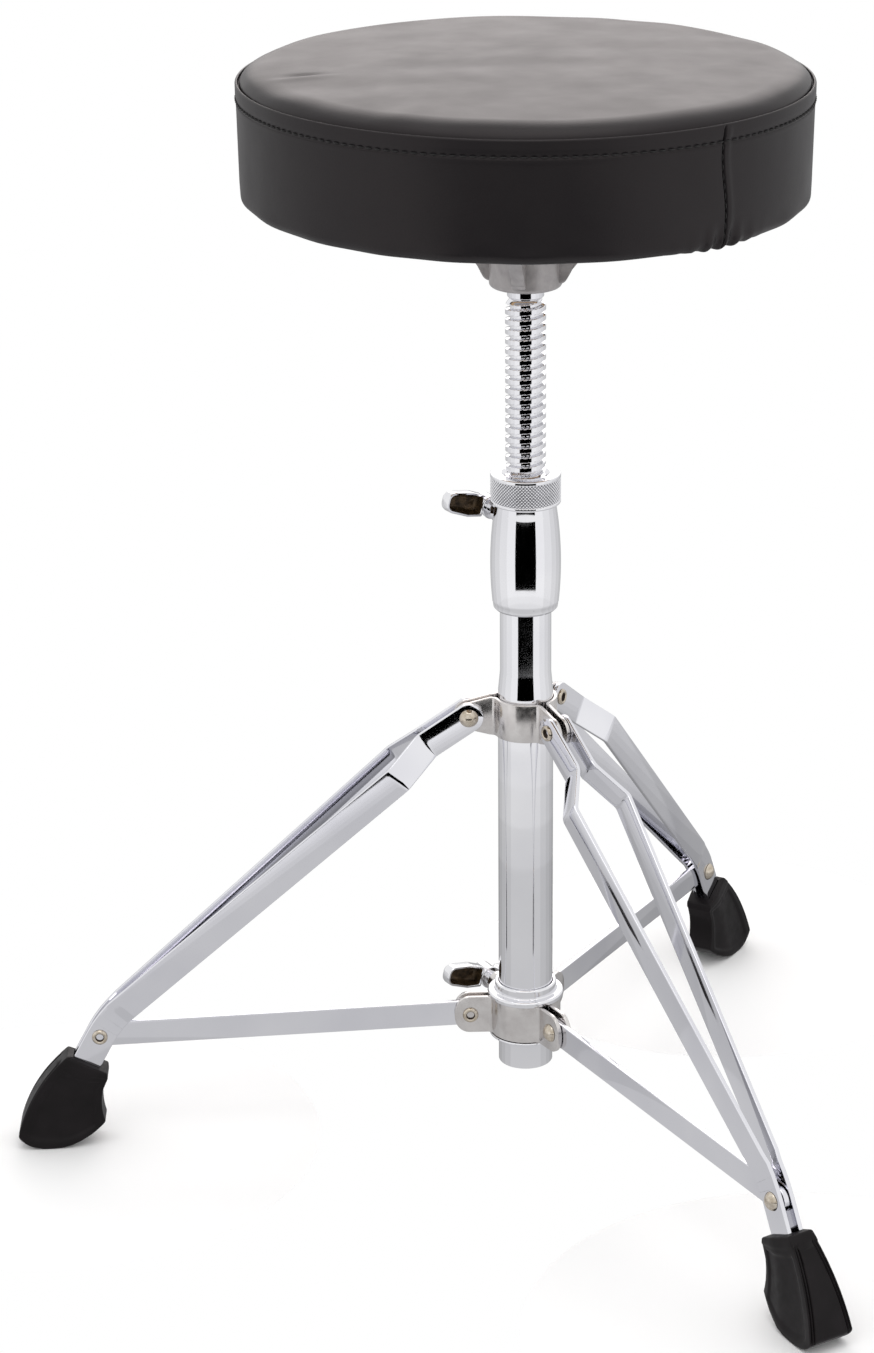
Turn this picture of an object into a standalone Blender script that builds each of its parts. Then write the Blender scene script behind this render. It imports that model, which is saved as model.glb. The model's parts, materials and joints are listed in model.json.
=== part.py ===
"""Drum throne: a round padded seat on a threaded post, over a folding double-braced tripod.

Metres, +Z up, floor at Z = 0. The post's axis is parallel to Z. One leg points to -Y and the
others to +30 and +150 degrees. The world's origin is under the middle of the whole object's box.
"""

import math

import bmesh
import bpy
from mathutils import Matrix, Vector

# ---------------------------------------------------------------- driving dimensions (metres)
GAP = 0.0003                    # clearance between pieces that touch
LEG_AZIMUTHS = [math.radians(a) for a in (-90.0, 30.0, 150.0)]

SEAT_R = 0.1525                 # a 12 inch round seat
SEAT_BOTTOM_Z = 0.556
SEAT_SEAM_Z = 0.619
SEAT_CROWN_Z = 0.629
SEAT_EDGE_R = 0.0095            # rounding under the seat's edge
COVER_T = 0.0018
COVER_OPENING_R = 0.120         # the cover is stapled round this opening, under the seat
BOARD_T = 0.012
SEAT_STEPS = 36                 # facets round the seat's pieces

POST_CREST_R = 0.01105
POST_ROOT_R = 0.00865
POST_PITCH = 0.0055
POST_BOTTOM_Z = 0.295
THREAD_TOP_Z = 0.5035
NECK_R = 0.010
HUB_BOTTOM_Z = 0.5075
HUB_R = 0.01975
SEAT_FLANGE = (0.056, 0.0050)   # the casting's flange: radius and thickness
RIB_HALF_T = 0.0037
RIB_AZIMUTH = math.radians(-133.0)
SCREW_FROM_RIB = math.radians(20.0)
SEAT_SCREW_CIRCLE_R = 0.045
SEAT_SCREW_R = 0.0020
SEAT_SCREW_HEAD_R = 0.0046
SPIGOT_R = 0.008
SPIGOT_TOP_Z = 0.547
CIRCLIP_Z = (0.5423, 0.5442)    # a groove near the spigot's top holds the circlip
GROOVE_R = 0.0068

NUT_R = 0.0194
NUT_Z = (0.3857, 0.4028)

HOUSING_Z = (0.3242, 0.3854)
HOUSING_R_TOP = 0.0170
HOUSING_R_MAX = 0.01955
HOUSING_R_BOTTOM = 0.0178

BUSH_Z = (0.299, 0.337)         # the nylon bush that guides the post in the tube

TUBE_UPPER_R = 0.0143
TUBE_LOWER_R = 0.0155
TUBE_WALL = 0.0015
TUBE_Z = (0.0462, 0.3775)
SWAGE_Z = (0.2745, 0.287)       # the lower, wider tube is swaged down to the upper size here

TOP_PIVOT_Z = 0.2610
LOW_PIVOT_Z = 0.0763
PIVOT_R = 0.032
TOP_BAND = (0.0158, 0.0020, 0.01115)     # inner radius, sheet thickness, half height
LOW_BAND = (0.0178, 0.0024, 0.0112)
TOP_EAR_LATERAL = 0.0026        # from the leg's middle plane to the middle of an ear
LOW_EAR_LATERAL = 0.0032
TOP_EAR_END_R = 0.0080
LOW_EAR_END_R = 0.0112
EAR_REACH = (0.0080, 0.0092)    # from a top and a lower pivot to the ear's tip
EAR_BEND_R = 0.0035

STRIP_W = 0.0165
STRIP_T = 0.0025
STAY_W = 0.0148
STAY_T = 0.0030
FOOT_PIVOT = (0.2454, 0.0676)   # radius and height of the rivet that joins leg and stay
BEND_1 = (0.0560, 0.2445)       # where a leg's two strips start to part
BEND_2 = (0.0720, 0.2292)       # where they are widest apart
KNEE_START = (0.2305, 0.0860)
KNEE_ANGLE = math.radians(-62.0)
STRIP_END = 0.042               # from the foot rivet to the strips' lower ends
LATERAL_TOP = 0.0052            # from the leg's middle plane to the middle of a strip
LATERAL_WIDE = 0.0175
LATERAL_FOOT = 0.00365

RIVET_R = 0.0030
RIVET_HOLE_R = 0.0033
DOME_R = 0.0053
DOME_H = 0.0033
RING_R = 0.00455
RING_H = 0.0014
RIVET_CLEARANCE = 0.0002        # under a rivet's head

COLLAR_Z = (0.0610, 0.0875, 0.0910, 0.0968)    # foot, flange, lip, top
COLLAR_FLANGE_R = 0.0219
COLLAR_LIP_R = 0.0178
RING_FLARE_R = 0.0209

HEIGHT_SCREW_Z = 0.3730
LEG_SCREW_Z = 0.0822
SCREW_R = 0.0040
SCREW_HOLE_R = 0.0043
SHOE_LENGTHS = (0.0035, 0.0020)  # the shoe of the height screw and of the leg screw
HUB_Y = (0.0335, 0.0368)        # where the two screws' hubs start
HUB_LENGTH = 0.0135
WING_HALF_LENGTH = 0.0295
WING_HALF_HEIGHT = 0.0070
WING_TIP_R = 0.0058
WING_DEPTH = 0.0080
WING_WALL = 0.0014
WING_TILT = math.radians(15.0)

FOOT_TOE_R = 0.2943
FOOT_TOE_Z = 0.0085
FOOT_TOE_HALF = (0.0078, 0.0147)     # half width of the toe face, at the crown and at the sole
FOOT_WAIST_HALF = (0.0092, 0.0132)   # the same where the flank changes slope
FOOT_HEEL_HALF = 0.0082
FOOT_WAIST = 0.4                     # where that is, as a share of the way from heel to toe
FOOT_HEIGHT = 0.0565
SOLE_R = 0.275                  # the middle of the sole's flat

# The box's middle, seen from above, lies between the front toe and the other two.
REACH_BACK = FOOT_TOE_R * math.sin(LEG_AZIMUTHS[1]) + FOOT_TOE_HALF[1] * math.cos(LEG_AZIMUTHS[1])
POST_Y = (FOOT_TOE_R - REACH_BACK) / 2


# ---------------------------------------------------------------- materials
def finish(name, colour, roughness, metallic):
    """A Principled material of one colour."""
    material = bpy.data.materials.new(name)
    material.use_nodes = True
    shader = material.node_tree.nodes["Principled BSDF"]
    shader.inputs["Base Color"].default_value = (*colour, 1.0)
    shader.inputs["Roughness"].default_value = roughness
    shader.inputs["Metallic"].default_value = metallic
    return material


for old in list(bpy.data.objects):
    bpy.data.objects.remove(old, do_unlink=True)

CHROME = finish("chrome", (0.80, 0.80, 0.81), 0.06, 1.0)
SATIN = finish("satin_steel", (0.62, 0.61, 0.60), 0.30, 1.0)
NICKEL = finish("rivet_nickel", (0.66, 0.60, 0.52), 0.22, 1.0)
BRASS = finish("brass", (0.72, 0.55, 0.28), 0.35, 1.0)
CAST = finish("painted_casting", (0.45, 0.45, 0.46), 0.40, 0.6)
VINYL = finish("black_vinyl", (0.025, 0.023, 0.024), 0.45, 0.0)
FOAM = finish("seat_foam", (0.75, 0.70, 0.55), 0.95, 0.0)
PLYWOOD = finish("plywood", (0.50, 0.36, 0.22), 0.70, 0.0)
NYLON = finish("white_nylon", (0.80, 0.80, 0.76), 0.50, 0.0)
RUBBER = finish("black_rubber", (0.012, 0.011, 0.012), 0.60, 0.0)


# ---------------------------------------------------------------- placing
def empty(name, location):
    marker = bpy.data.objects.new(name, None)
    marker.empty_display_size = 0.02
    marker.location = location
    bpy.context.collection.objects.link(marker)
    return marker


ASSEMBLY = empty("assembly", (0.0, POST_Y, 0.0))


def node(name, bm, material, pivot=(0.0, 0.0, 0.0), azimuth=0.0):
    """Makes bm an object with its origin at pivot, then turns both about the post to an azimuth.

    bm and pivot are measured from the post's axis at the floor. For a piece of a leg, X runs
    outwards along the leg and Y across it.
    """
    bmesh.ops.remove_doubles(bm, verts=bm.verts, dist=1e-6)
    bmesh.ops.translate(bm, verts=bm.verts, vec=-Vector(pivot))
    bmesh.ops.recalc_face_normals(bm, faces=bm.faces)
    mesh = bpy.data.meshes.new(name)
    bm.to_mesh(mesh)
    bm.free()
    mesh.shade_smooth()
    mesh.set_sharp_from_angle(angle=math.radians(35.0))
    piece = bpy.data.objects.new(name, mesh)
    piece.data.materials.append(material)
    piece.parent = ASSEMBLY
    turn = Matrix.Rotation(azimuth, 3, "Z")
    piece.location = turn @ Vector(pivot)
    piece.rotation_euler = (0.0, 0.0, azimuth)
    bpy.context.collection.objects.link(piece)
    return piece


def boolean(piece, other, operation="DIFFERENCE"):
    """Cuts a helper from a piece, or joins it on. The helper isn't rendered."""
    change = piece.modifiers.new(other.name, "BOOLEAN")
    change.operation = operation
    change.solver = "EXACT"
    change.object = other
    other.hide_render = True
    other.display_type = "WIRE"
    return piece


# ---------------------------------------------------------------- shapes
def turned(profile, steps=32, sweep=2 * math.pi, matrix=Matrix.Identity(4)):
    """A closed profile of (radius, height) points, spun about Z. A part turn is closed by caps."""
    bm = bmesh.new()
    ring = [bm.verts.new((r, 0.0, z)) for r, z in profile]
    edges = [bm.edges.new((ring[i], ring[(i + 1) % len(ring)])) for i in range(len(ring))]
    cap = [] if sweep >= 2 * math.pi else [bm.faces.new(ring)]
    bmesh.ops.spin(
        bm, geom=cap + ring + edges, cent=(0, 0, 0), axis=(0, 0, 1), angle=sweep,
        steps=steps, use_duplicate=False,
    )
    bmesh.ops.remove_doubles(bm, verts=bm.verts, dist=1e-6)
    bmesh.ops.transform(bm, matrix=matrix, verts=bm.verts)
    return bm


def solid_turned(outline, **options):
    """A spun solid from its outer (radius, height) points, top to bottom, closed on the axis."""
    (_, top), (_, bottom) = outline[0], outline[-1]
    profile = [(0.0, top), *outline, (0.0, bottom)]
    bm = bmesh.new()
    chain = [bm.verts.new((r, 0.0, z)) for r, z in profile]
    edges = [bm.edges.new(pair) for pair in zip(chain, chain[1:])]
    bmesh.ops.spin(
        bm, geom=chain + edges, cent=(0, 0, 0), axis=(0, 0, 1), angle=2 * math.pi,
        steps=options.get("steps", 24), use_duplicate=False,
    )
    bmesh.ops.remove_doubles(bm, verts=bm.verts, dist=1e-6)
    bmesh.ops.transform(bm, matrix=options.get("matrix", Matrix.Identity(4)), verts=bm.verts)
    return bm


def arc(centre, radius, start, end, steps):
    """Points of an arc, angles in degrees."""
    points = []
    for i in range(steps + 1):
        a = math.radians(start + (end - start) * i / steps)
        points.append((centre[0] + radius * math.cos(a), centre[1] + radius * math.sin(a)))
    return points


def arc_through(start, middle, end, steps):
    """Points of the circular arc from start to end that passes through middle."""
    (ax, ay), (bx, by), (cx, cy) = start, middle, end
    twist = 2 * (ax * (by - cy) + bx * (cy - ay) + cx * (ay - by))
    a2, b2, c2 = ax * ax + ay * ay, bx * bx + by * by, cx * cx + cy * cy
    centre = (
        (a2 * (by - cy) + b2 * (cy - ay) + c2 * (ay - by)) / twist,
        (a2 * (cx - bx) + b2 * (ax - cx) + c2 * (bx - ax)) / twist,
    )
    first = math.degrees(math.atan2(ay - centre[1], ax - centre[0]))
    last = math.degrees(math.atan2(cy - centre[1], cx - centre[0]))
    last = first + (last - first + 180.0) % 360.0 - 180.0
    return arc(centre, math.dist(start, centre), first, last, steps)


def bar(stations):
    """A bar through stations, each a centre with a half-width and a half-thickness vector."""
    bm = bmesh.new()
    rings = []
    for centre, wide, thick in stations:
        corners = ((-1, -1), (1, -1), (1, 1), (-1, 1))
        rings.append([bm.verts.new(centre + a * wide + b * thick) for a, b in corners])
    for near, far in zip(rings, rings[1:]):
        for i in range(4):
            k = (i + 1) % 4
            bm.faces.new((near[i], near[k], far[k], far[i]))
    bm.faces.new(rings[0])
    bm.faces.new(rings[-1][::-1])
    return bm


def slab(outline, y_start, y_end, matrix=Matrix.Identity(4)):
    """An (X, Z) outline between two Y planes."""
    bm = bmesh.new()
    near = [bm.verts.new((x, y_start, z)) for x, z in outline]
    far = [bm.verts.new((x, y_end, z)) for x, z in outline]
    bm.faces.new(near)
    bm.faces.new(far[::-1])
    for i in range(len(outline)):
        k = (i + 1) % len(outline)
        bm.faces.new((near[i], far[i], far[k], near[k]))
    bmesh.ops.transform(bm, matrix=matrix, verts=bm.verts)
    return bm


def along_y(x, y, z):
    """Turns a shape spun about Z so that its axis points to +Y, from the point given."""
    return Matrix.Translation((x, y, z)) @ Matrix.Rotation(math.radians(-90.0), 4, "X")


def pin_cutter(name, x, z, radius, azimuth, half_length=0.02):
    """A cutter for a hole across a leg."""
    outline = [(radius, half_length), (radius, -half_length)]
    # The twist keeps the hole's corners off the edges of the bars that it cuts.
    twist = Matrix.Rotation(math.radians(7.0), 4, "Z")
    bm = solid_turned(outline, steps=12, matrix=along_y(x, 0.0, z) @ twist)
    return node(name, bm, SATIN, pivot=(x, 0.0, z), azimuth=azimuth)


# ---------------------------------------------------------------- seat
def seat_outline(inset):
    """The seat's outer (radius, height) points from the crown to the underside, inset by a wall."""
    edge_r = SEAT_R - inset
    crown_z = SEAT_CROWN_Z - inset
    seam_z = SEAT_SEAM_Z - inset
    bottom_z = SEAT_BOTTOM_Z + inset
    shoulder = 0.008
    points = []
    rings = 4
    for i in range(rings + 1):
        r = (edge_r - shoulder) * i / rings
        dome = (crown_z - seam_z - 0.003) * (1 - (i / rings) ** 2)
        points.append((r, seam_z + 0.003 + dome))
    points += arc((edge_r - shoulder, seam_z - shoulder + 0.003), shoulder, 60, 0, 2)
    under = SEAT_EDGE_R - inset
    points += arc((edge_r - under, bottom_z + under), under, 0, -90, 3)
    return points


def make_seat():
    """The cover is a shell, open underneath, round a foam disc on a plywood board."""
    outer = seat_outline(0.0)
    inner = seat_outline(COVER_T)
    outer.append((COVER_OPENING_R, SEAT_BOTTOM_Z))
    inner.append((COVER_OPENING_R, SEAT_BOTTOM_Z + COVER_T))
    bm = bmesh.new()
    chain = [bm.verts.new((r, 0.0, z)) for r, z in outer + inner[::-1]]
    edges = [bm.edges.new(pair) for pair in zip(chain, chain[1:])]
    bmesh.ops.spin(
        bm, geom=chain + edges, cent=(0, 0, 0), axis=(0, 0, 1), angle=2 * math.pi,
        steps=SEAT_STEPS, use_duplicate=False,
    )
    node("seat_cover", bm, VINYL)

    board_z = SEAT_BOTTOM_Z + COVER_T + GAP
    board_r = SEAT_R - COVER_T - 0.0012
    board = [(board_r, board_z + BOARD_T), (board_r, board_z + 0.006), (board_r - 0.006, board_z)]
    node("seat_board", solid_turned(board, steps=SEAT_STEPS), PLYWOOD)

    top = [p for p in seat_outline(COVER_T + 2 * GAP) if p[1] > SEAT_SEAM_Z - 0.02]
    foam = top[1:] + [(top[-1][0], board_z + BOARD_T + GAP)]
    node("seat_foam", solid_turned([top[0], *foam], steps=SEAT_STEPS), FOAM)
    return board_z


def make_seat_bracket(board_z):
    """A cast hub with four ribs up to a flange screwed under the board."""
    flange_top = board_z - GAP
    flange = SEAT_FLANGE
    bore = SPIGOT_R + 0.004
    profile = [
        (bore, flange_top), (flange[0], flange_top), (flange[0], flange_top - flange[1]),
        (HUB_R + 0.006, flange_top - flange[1]), (HUB_R, flange_top - flange[1] - 0.006),
        (HUB_R, HUB_BOTTOM_Z + 0.001), (HUB_R - 0.001, HUB_BOTTOM_Z),
        (SPIGOT_R + GAP, HUB_BOTTOM_Z), (SPIGOT_R + GAP, HUB_BOTTOM_Z + 0.003),
        (bore, HUB_BOTTOM_Z + 0.003),
    ]
    casting = node("seat_bracket", turned(profile, steps=28), CAST)
    rib = [
        (HUB_R - 0.004, flange_top - 0.002), (flange[0] - 0.004, flange_top - 0.002),
        (flange[0] - 0.004, flange_top - flange[1] - 0.002), (0.0245, HUB_BOTTOM_Z + 0.009),
        (0.0218, HUB_BOTTOM_Z + 0.003), (HUB_R - 0.004, HUB_BOTTOM_Z + 0.002),
    ]
    hole = [(SEAT_SCREW_R + 0.0004, flange_top + 0.02), (SEAT_SCREW_R + 0.0004, flange_top - 0.02)]
    head_z = flange_top - flange[1] - GAP
    screw = [
        (SEAT_SCREW_R, board_z - 2 * GAP), (SEAT_SCREW_R, head_z), (SEAT_SCREW_HEAD_R, head_z),
        (SEAT_SCREW_HEAD_R, head_z - 0.0010), (SEAT_SCREW_R + 0.0010, head_z - 0.0028),
    ]
    to_screw = Matrix.Translation((SEAT_SCREW_CIRCLE_R, 0.0, 0.0))
    for i in range(4):
        rib_azimuth = RIB_AZIMUTH + i * math.pi / 2
        bm = slab(rib, RIB_HALF_T, -RIB_HALF_T)
        boolean(casting, node(f"rib_{i + 1}", bm, CAST, azimuth=rib_azimuth), "UNION")
        screw_azimuth = rib_azimuth + SCREW_FROM_RIB
        bm = solid_turned(hole, steps=12, matrix=to_screw)
        boolean(casting, node(f"screw_hole_{i + 1}", bm, CAST, azimuth=screw_azimuth))
        bm = solid_turned(screw, steps=12, matrix=to_screw)
        node(f"seat_bracket_screw_{i + 1}", bm, SATIN, azimuth=screw_azimuth)

    bush_z = (HUB_BOTTOM_Z + 0.0033, CIRCLIP_Z[0] - GAP)
    bush = [(SPIGOT_R + GAP, bush_z[1]), (bore - GAP, bush_z[1]), (bore - GAP, bush_z[0]),
            (SPIGOT_R + GAP, bush_z[0])]
    node("swivel_bush", turned(bush, steps=24), NYLON)


# ---------------------------------------------------------------- post and height nut
def make_post():
    """Columns of rings that climb one pitch per turn, so the grid itself follows the helix."""
    columns = 10
    # Crest start, crest end, root start and root end, as shares of the pitch.
    marks = ((0.0, POST_CREST_R), (0.30, POST_CREST_R), (0.46, POST_ROOT_R), (0.84, POST_ROOT_R))
    start_z = POST_BOTTOM_Z + 0.0025
    turns = round((THREAD_TOP_Z - start_z) / POST_PITCH) - 1
    rows = turns * len(marks)
    bm = bmesh.new()
    grid = []
    for c in range(columns):
        a = 2 * math.pi * c / columns
        column = []
        for k in range(rows):
            lap, mark = divmod(k, len(marks))
            share, r = marks[mark]
            z = start_z + POST_PITCH * (lap + share + c / columns)
            column.append(bm.verts.new((r * math.cos(a), r * math.sin(a), z)))
        grid.append(column)

    def ring(radius, z):
        turn = [2 * math.pi * c / columns for c in range(columns)]
        return [bm.verts.new((radius * math.cos(a), radius * math.sin(a), z)) for a in turn]

    for c in range(columns - 1):
        for k in range(rows - 1):
            bm.faces.new((grid[c][k], grid[c + 1][k], grid[c + 1][k + 1], grid[c][k + 1]))
    shift = len(marks)
    last, first = grid[-1], grid[0]
    for k in range(rows - 1 - shift):
        bm.faces.new((last[k], first[k + shift], first[k + shift + 1], last[k + 1]))

    below = ring(POST_ROOT_R, POST_BOTTOM_Z + 0.001)
    tip = ring(POST_ROOT_R - 0.001, POST_BOTTOM_Z)
    thread_end = start_z + POST_PITCH * (turns + 1)
    above = [ring(POST_ROOT_R, thread_end), ring(NECK_R, thread_end + 0.0015),
             ring(NECK_R, HUB_BOTTOM_Z - GAP),
             ring(SPIGOT_R, HUB_BOTTOM_Z - GAP), ring(SPIGOT_R, CIRCLIP_Z[0]),
             ring(GROOVE_R, CIRCLIP_Z[0]), ring(GROOVE_R, CIRCLIP_Z[1]),
             ring(SPIGOT_R, CIRCLIP_Z[1]), ring(SPIGOT_R - 0.001, SPIGOT_TOP_Z)]
    for c in range(columns - 1):
        bm.faces.new((below[c], below[c + 1], grid[c + 1][0], grid[c][0]))
        bm.faces.new((grid[c][-1], grid[c + 1][-1], above[0][c + 1], above[0][c]))
    bm.faces.new((below[-1], below[0], *first[: shift + 1], last[0]))
    bm.faces.new((*last[rows - 1 - shift:], above[0][-1], above[0][0], first[-1]))
    for low, high in [(tip, below), *zip(above, above[1:])]:
        for c in range(columns):
            k = (c + 1) % columns
            bm.faces.new((low[c], low[k], high[k], high[c]))
    bm.faces.new(tip[::-1])
    bm.faces.new(above[-1])
    node("threaded_post", bm, CHROME)

    inner, outer = GROOVE_R + GAP, SPIGOT_R + 0.0022
    low, high = CIRCLIP_Z[0] + GAP, CIRCLIP_Z[1] - GAP
    clip = [(inner, low), (outer, low), (outer, high), (inner, high)]
    node("post_circlip", turned(clip, steps=20, sweep=math.radians(310.0)), SATIN)


def make_height_nut():
    """The knurled nut that sets the height, resting on the housing's rim."""
    low, high = NUT_Z
    bore = POST_CREST_R + GAP
    edge = 0.0012
    profile = [
        (bore, low), (NUT_R - edge, low), (NUT_R, low + edge), (NUT_R, high - edge),
        (NUT_R - edge, high), (bore + 0.002, high), (bore, high - 0.002),
    ]
    node("height_nut", turned(profile, steps=28), CHROME)


# ---------------------------------------------------------------- tube and housing
def make_centre_tube():
    """One tube, swaged down from the lower size to the upper one just above the leg bracket."""
    low, high = TUBE_Z
    inner_low, inner_up = TUBE_LOWER_R - TUBE_WALL, TUBE_UPPER_R - TUBE_WALL
    profile = [
        (inner_low, low), (TUBE_LOWER_R - 0.001, low), (TUBE_LOWER_R, low + 0.001),
        (TUBE_LOWER_R, SWAGE_Z[0]), (TUBE_UPPER_R, SWAGE_Z[1]), (TUBE_UPPER_R, high),
        (inner_up, high), (inner_up, SWAGE_Z[1]), (inner_low, SWAGE_Z[0]),
    ]
    tube = node("centre_tube", turned(profile, steps=32), CHROME)
    boolean(tube, screw_cutter("height_screw_tube_hole", 0.009, 0.019, HEIGHT_SCREW_Z))


def screw_cutter(name, y_start, y_end, z):
    """A cutter for a clamp screw's hole, along +Y."""
    outline = [(SCREW_HOLE_R, y_end - y_start), (SCREW_HOLE_R, 0.0)]
    return node(name, solid_turned(outline, steps=16, matrix=along_y(0.0, y_start, z)), SATIN)


def make_post_housing():
    """The barrel pressed over the tube's top, with a boss at the back for the clamp screw."""
    low, high = HOUSING_Z
    socket = TUBE_UPPER_R + GAP
    neck = POST_CREST_R + 0.0006
    profile = [
        (socket, low), (HOUSING_R_BOTTOM - 0.0022, low), (HOUSING_R_BOTTOM - 0.0006, low + 0.0012),
        (HOUSING_R_BOTTOM + 0.0004, low + 0.0045), (0.0190, low + 0.0125),
        (HOUSING_R_MAX, low + 0.0234), (0.0192, low + 0.0328), (0.0184, low + 0.0428),
        (HOUSING_R_TOP + 0.0005, high - 0.005),
        (HOUSING_R_TOP, high), (neck, high), (neck, TUBE_Z[1] + GAP), (socket, TUBE_Z[1] + GAP),
    ]
    housing = node("post_housing", turned(profile, steps=24), CHROME)
    boss_shape = [(0.0062, 0.0105), (0.0068, 0.0098), (0.0068, 0.0)]
    bm = solid_turned(boss_shape, steps=20, matrix=along_y(0.0, 0.0155, HEIGHT_SCREW_Z))
    boolean(housing, node("housing_boss", bm, CHROME), "UNION")
    boolean(housing, screw_cutter("height_screw_hole", 0.009, 0.03, HEIGHT_SCREW_Z))

    bush_r = TUBE_UPPER_R - TUBE_WALL - GAP
    bush = [(POST_CREST_R + GAP, BUSH_Z[0]), (bush_r, BUSH_Z[0]), (bush_r, BUSH_Z[1]),
            (POST_CREST_R + GAP, BUSH_Z[1])]
    node("post_guide_bush", turned(bush, steps=24), NYLON)


# ---------------------------------------------------------------- clamp screws
def wing_screw(name, tip_y, hub_y, z):
    """A screw with a cast two-winged head. Its axis is +Y and its wings are hollow behind."""
    shank = [(SCREW_R, hub_y + 0.001 - tip_y), (SCREW_R, 0.001), (SCREW_R - 0.001, 0.0)]
    bm = solid_turned(shank, steps=16, matrix=along_y(0.0, tip_y, z))
    screw = node(name, bm, CHROME, pivot=(0.0, tip_y, z))
    hub = [(0.0050, HUB_LENGTH), (0.0064, HUB_LENGTH - 0.0015), (0.0068, 0.0)]
    bm = solid_turned(hub, steps=20, matrix=along_y(0.0, hub_y, z))
    boolean(screw, node(f"{name}_hub", bm, CHROME), "UNION")
    turn = Matrix.Translation((0.0, 0.0, z)) @ Matrix.Rotation(WING_TILT, 4, "Y")
    wing_y = (hub_y + 0.0010, hub_y + 0.0010 + WING_DEPTH)
    pocket_y = (hub_y - 0.0020, wing_y[1] - WING_WALL - 0.0010)
    for side, which in ((-1.0, "left"), (1.0, "right")):
        wing = slab(wing_points(side, 0.0), *wing_y, turn)
        boolean(screw, node(f"{name}_wing_{which}", wing, CHROME), "UNION")
        pocket = slab(wing_points(side, WING_WALL), *pocket_y, turn)
        boolean(screw, node(f"{name}_pocket_{which}", pocket, CHROME))
    return screw


def wing_points(side, inset):
    """One wing's outline: a little wider than the hub, then narrowing to a rounded tip."""
    root = (0.0062 + inset, 0.0060 - inset)
    wide = (WING_HALF_LENGTH - 0.015, WING_HALF_HEIGHT - inset)
    tip_r = WING_TIP_R - inset
    points = [(root[0], -root[1]), (wide[0], -wide[1])]
    points += arc((WING_HALF_LENGTH - WING_TIP_R, 0.0), tip_r, -75, 75, 8)
    points += [wide, root]
    return [(side * x, z) for x, z in points]


def make_clamps():
    """Each clamp screw presses a brass shoe on the post or on the tube."""
    shoe_r = SCREW_HOLE_R - GAP
    for which, clamped_r, z, shoe_length, hub_y in (
        ("height", POST_CREST_R, HEIGHT_SCREW_Z, SHOE_LENGTHS[0], HUB_Y[0]),
        ("leg", TUBE_LOWER_R, LEG_SCREW_Z, SHOE_LENGTHS[1], HUB_Y[1]),
    ):
        shoe_y = clamped_r + GAP
        outline = [(shoe_r, shoe_length), (shoe_r, 0.0)]
        bm = solid_turned(outline, steps=16, matrix=along_y(0.0, shoe_y, z))
        node(f"{which}_clamp_shoe", bm, BRASS, pivot=(0.0, shoe_y, z))
        wing_screw(f"{which}_wing_screw", shoe_y + shoe_length + GAP, hub_y, z)


# ---------------------------------------------------------------- leg brackets and collar
def bracket_plate(name, start, band, ear_lateral, ear_end_r, reach, pivot_z, slope):
    """A pressed plate from one leg to the next: a third of a ring with an ear at each end.

    Its path, seen from above, is the first ear, a bend, the ring and the same mirrored.
    """
    inner, thick, half = band
    ring_r = inner + thick / 2
    bend = EAR_BEND_R + thick / 2
    centre = (math.sqrt((ring_r + bend) ** 2 - (ear_lateral + bend) ** 2), ear_lateral + bend)
    lean = math.atan2(centre[1], centre[0])
    path = []                                   # (x, y, direction of the outside, half height)
    for i in range(5):
        a = math.radians(6 + 84 * i / 4)
        x = PIVOT_R + reach * math.cos(a)
        path.append((x, ear_lateral, -90.0, ear_end_r * math.sin(a)))
    start_bend = -90.0
    end_bend = -180.0 + math.degrees(lean)
    for i in range(4):
        a = math.radians(start_bend + (end_bend - start_bend) * i / 3)
        x, y = centre[0] + bend * math.cos(a), centre[1] + bend * math.sin(a)
        height = half if slope == 0 else min(half, ear_end_r + (PIVOT_R - x) * slope)
        path.append((x, y, math.degrees(a), height))
    middle = math.radians(60.0)
    ring_steps = 4
    for i in range(1, ring_steps + 1):
        a = lean + (middle - lean) * i / ring_steps
        path.append((ring_r * math.cos(a), ring_r * math.sin(a), math.degrees(a) + 180.0, half))
    stations = []
    for x, y, outside, height in path:
        a = math.radians(outside)
        across = Vector((math.cos(a), math.sin(a), 0.0)) * thick / 2
        stations.append((Vector((x, y, pivot_z)), Vector((0, 0, height)), across))
    mirrored = []
    for point, tall, across in stations[-2::-1]:
        # Reflecting in the plane through the axis at the middle of the plate.
        flip = Matrix.Rotation(2 * middle, 3, "Z") @ Matrix.Scale(-1.0, 3, (0, 1, 0))
        mirrored.append((flip @ point, tall, flip @ across))
    plate = node(name, bar(stations + mirrored), SATIN, azimuth=start)
    return plate


def make_brackets():
    for i, start in enumerate(LEG_AZIMUTHS):
        top = bracket_plate(
            f"top_bracket_plate_{i + 1}", start, TOP_BAND, TOP_EAR_LATERAL, TOP_EAR_END_R,
            EAR_REACH[0], TOP_PIVOT_Z, 0.45,
        )
        low = bracket_plate(
            f"lower_bracket_plate_{i + 1}", start, LOW_BAND, LOW_EAR_LATERAL, LOW_EAR_END_R,
            EAR_REACH[1], LOW_PIVOT_Z, 0,
        )
        for k in (i, (i + 1) % 3):
            boolean(top, pin_holes["top", k])
            boolean(low, pin_holes["low", k])
        if i == 1:
            boss = [(0.0062, 0.0117), (0.0070, 0.0108), (0.0070, 0.0)]
            bm = solid_turned(boss, steps=20, matrix=along_y(0.0, 0.0190, LEG_SCREW_Z))
            boolean(low, node("bracket_boss", bm, SATIN), "UNION")
            boolean(low, screw_cutter("leg_screw_plate_hole", 0.0160, 0.034, LEG_SCREW_Z))


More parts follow.
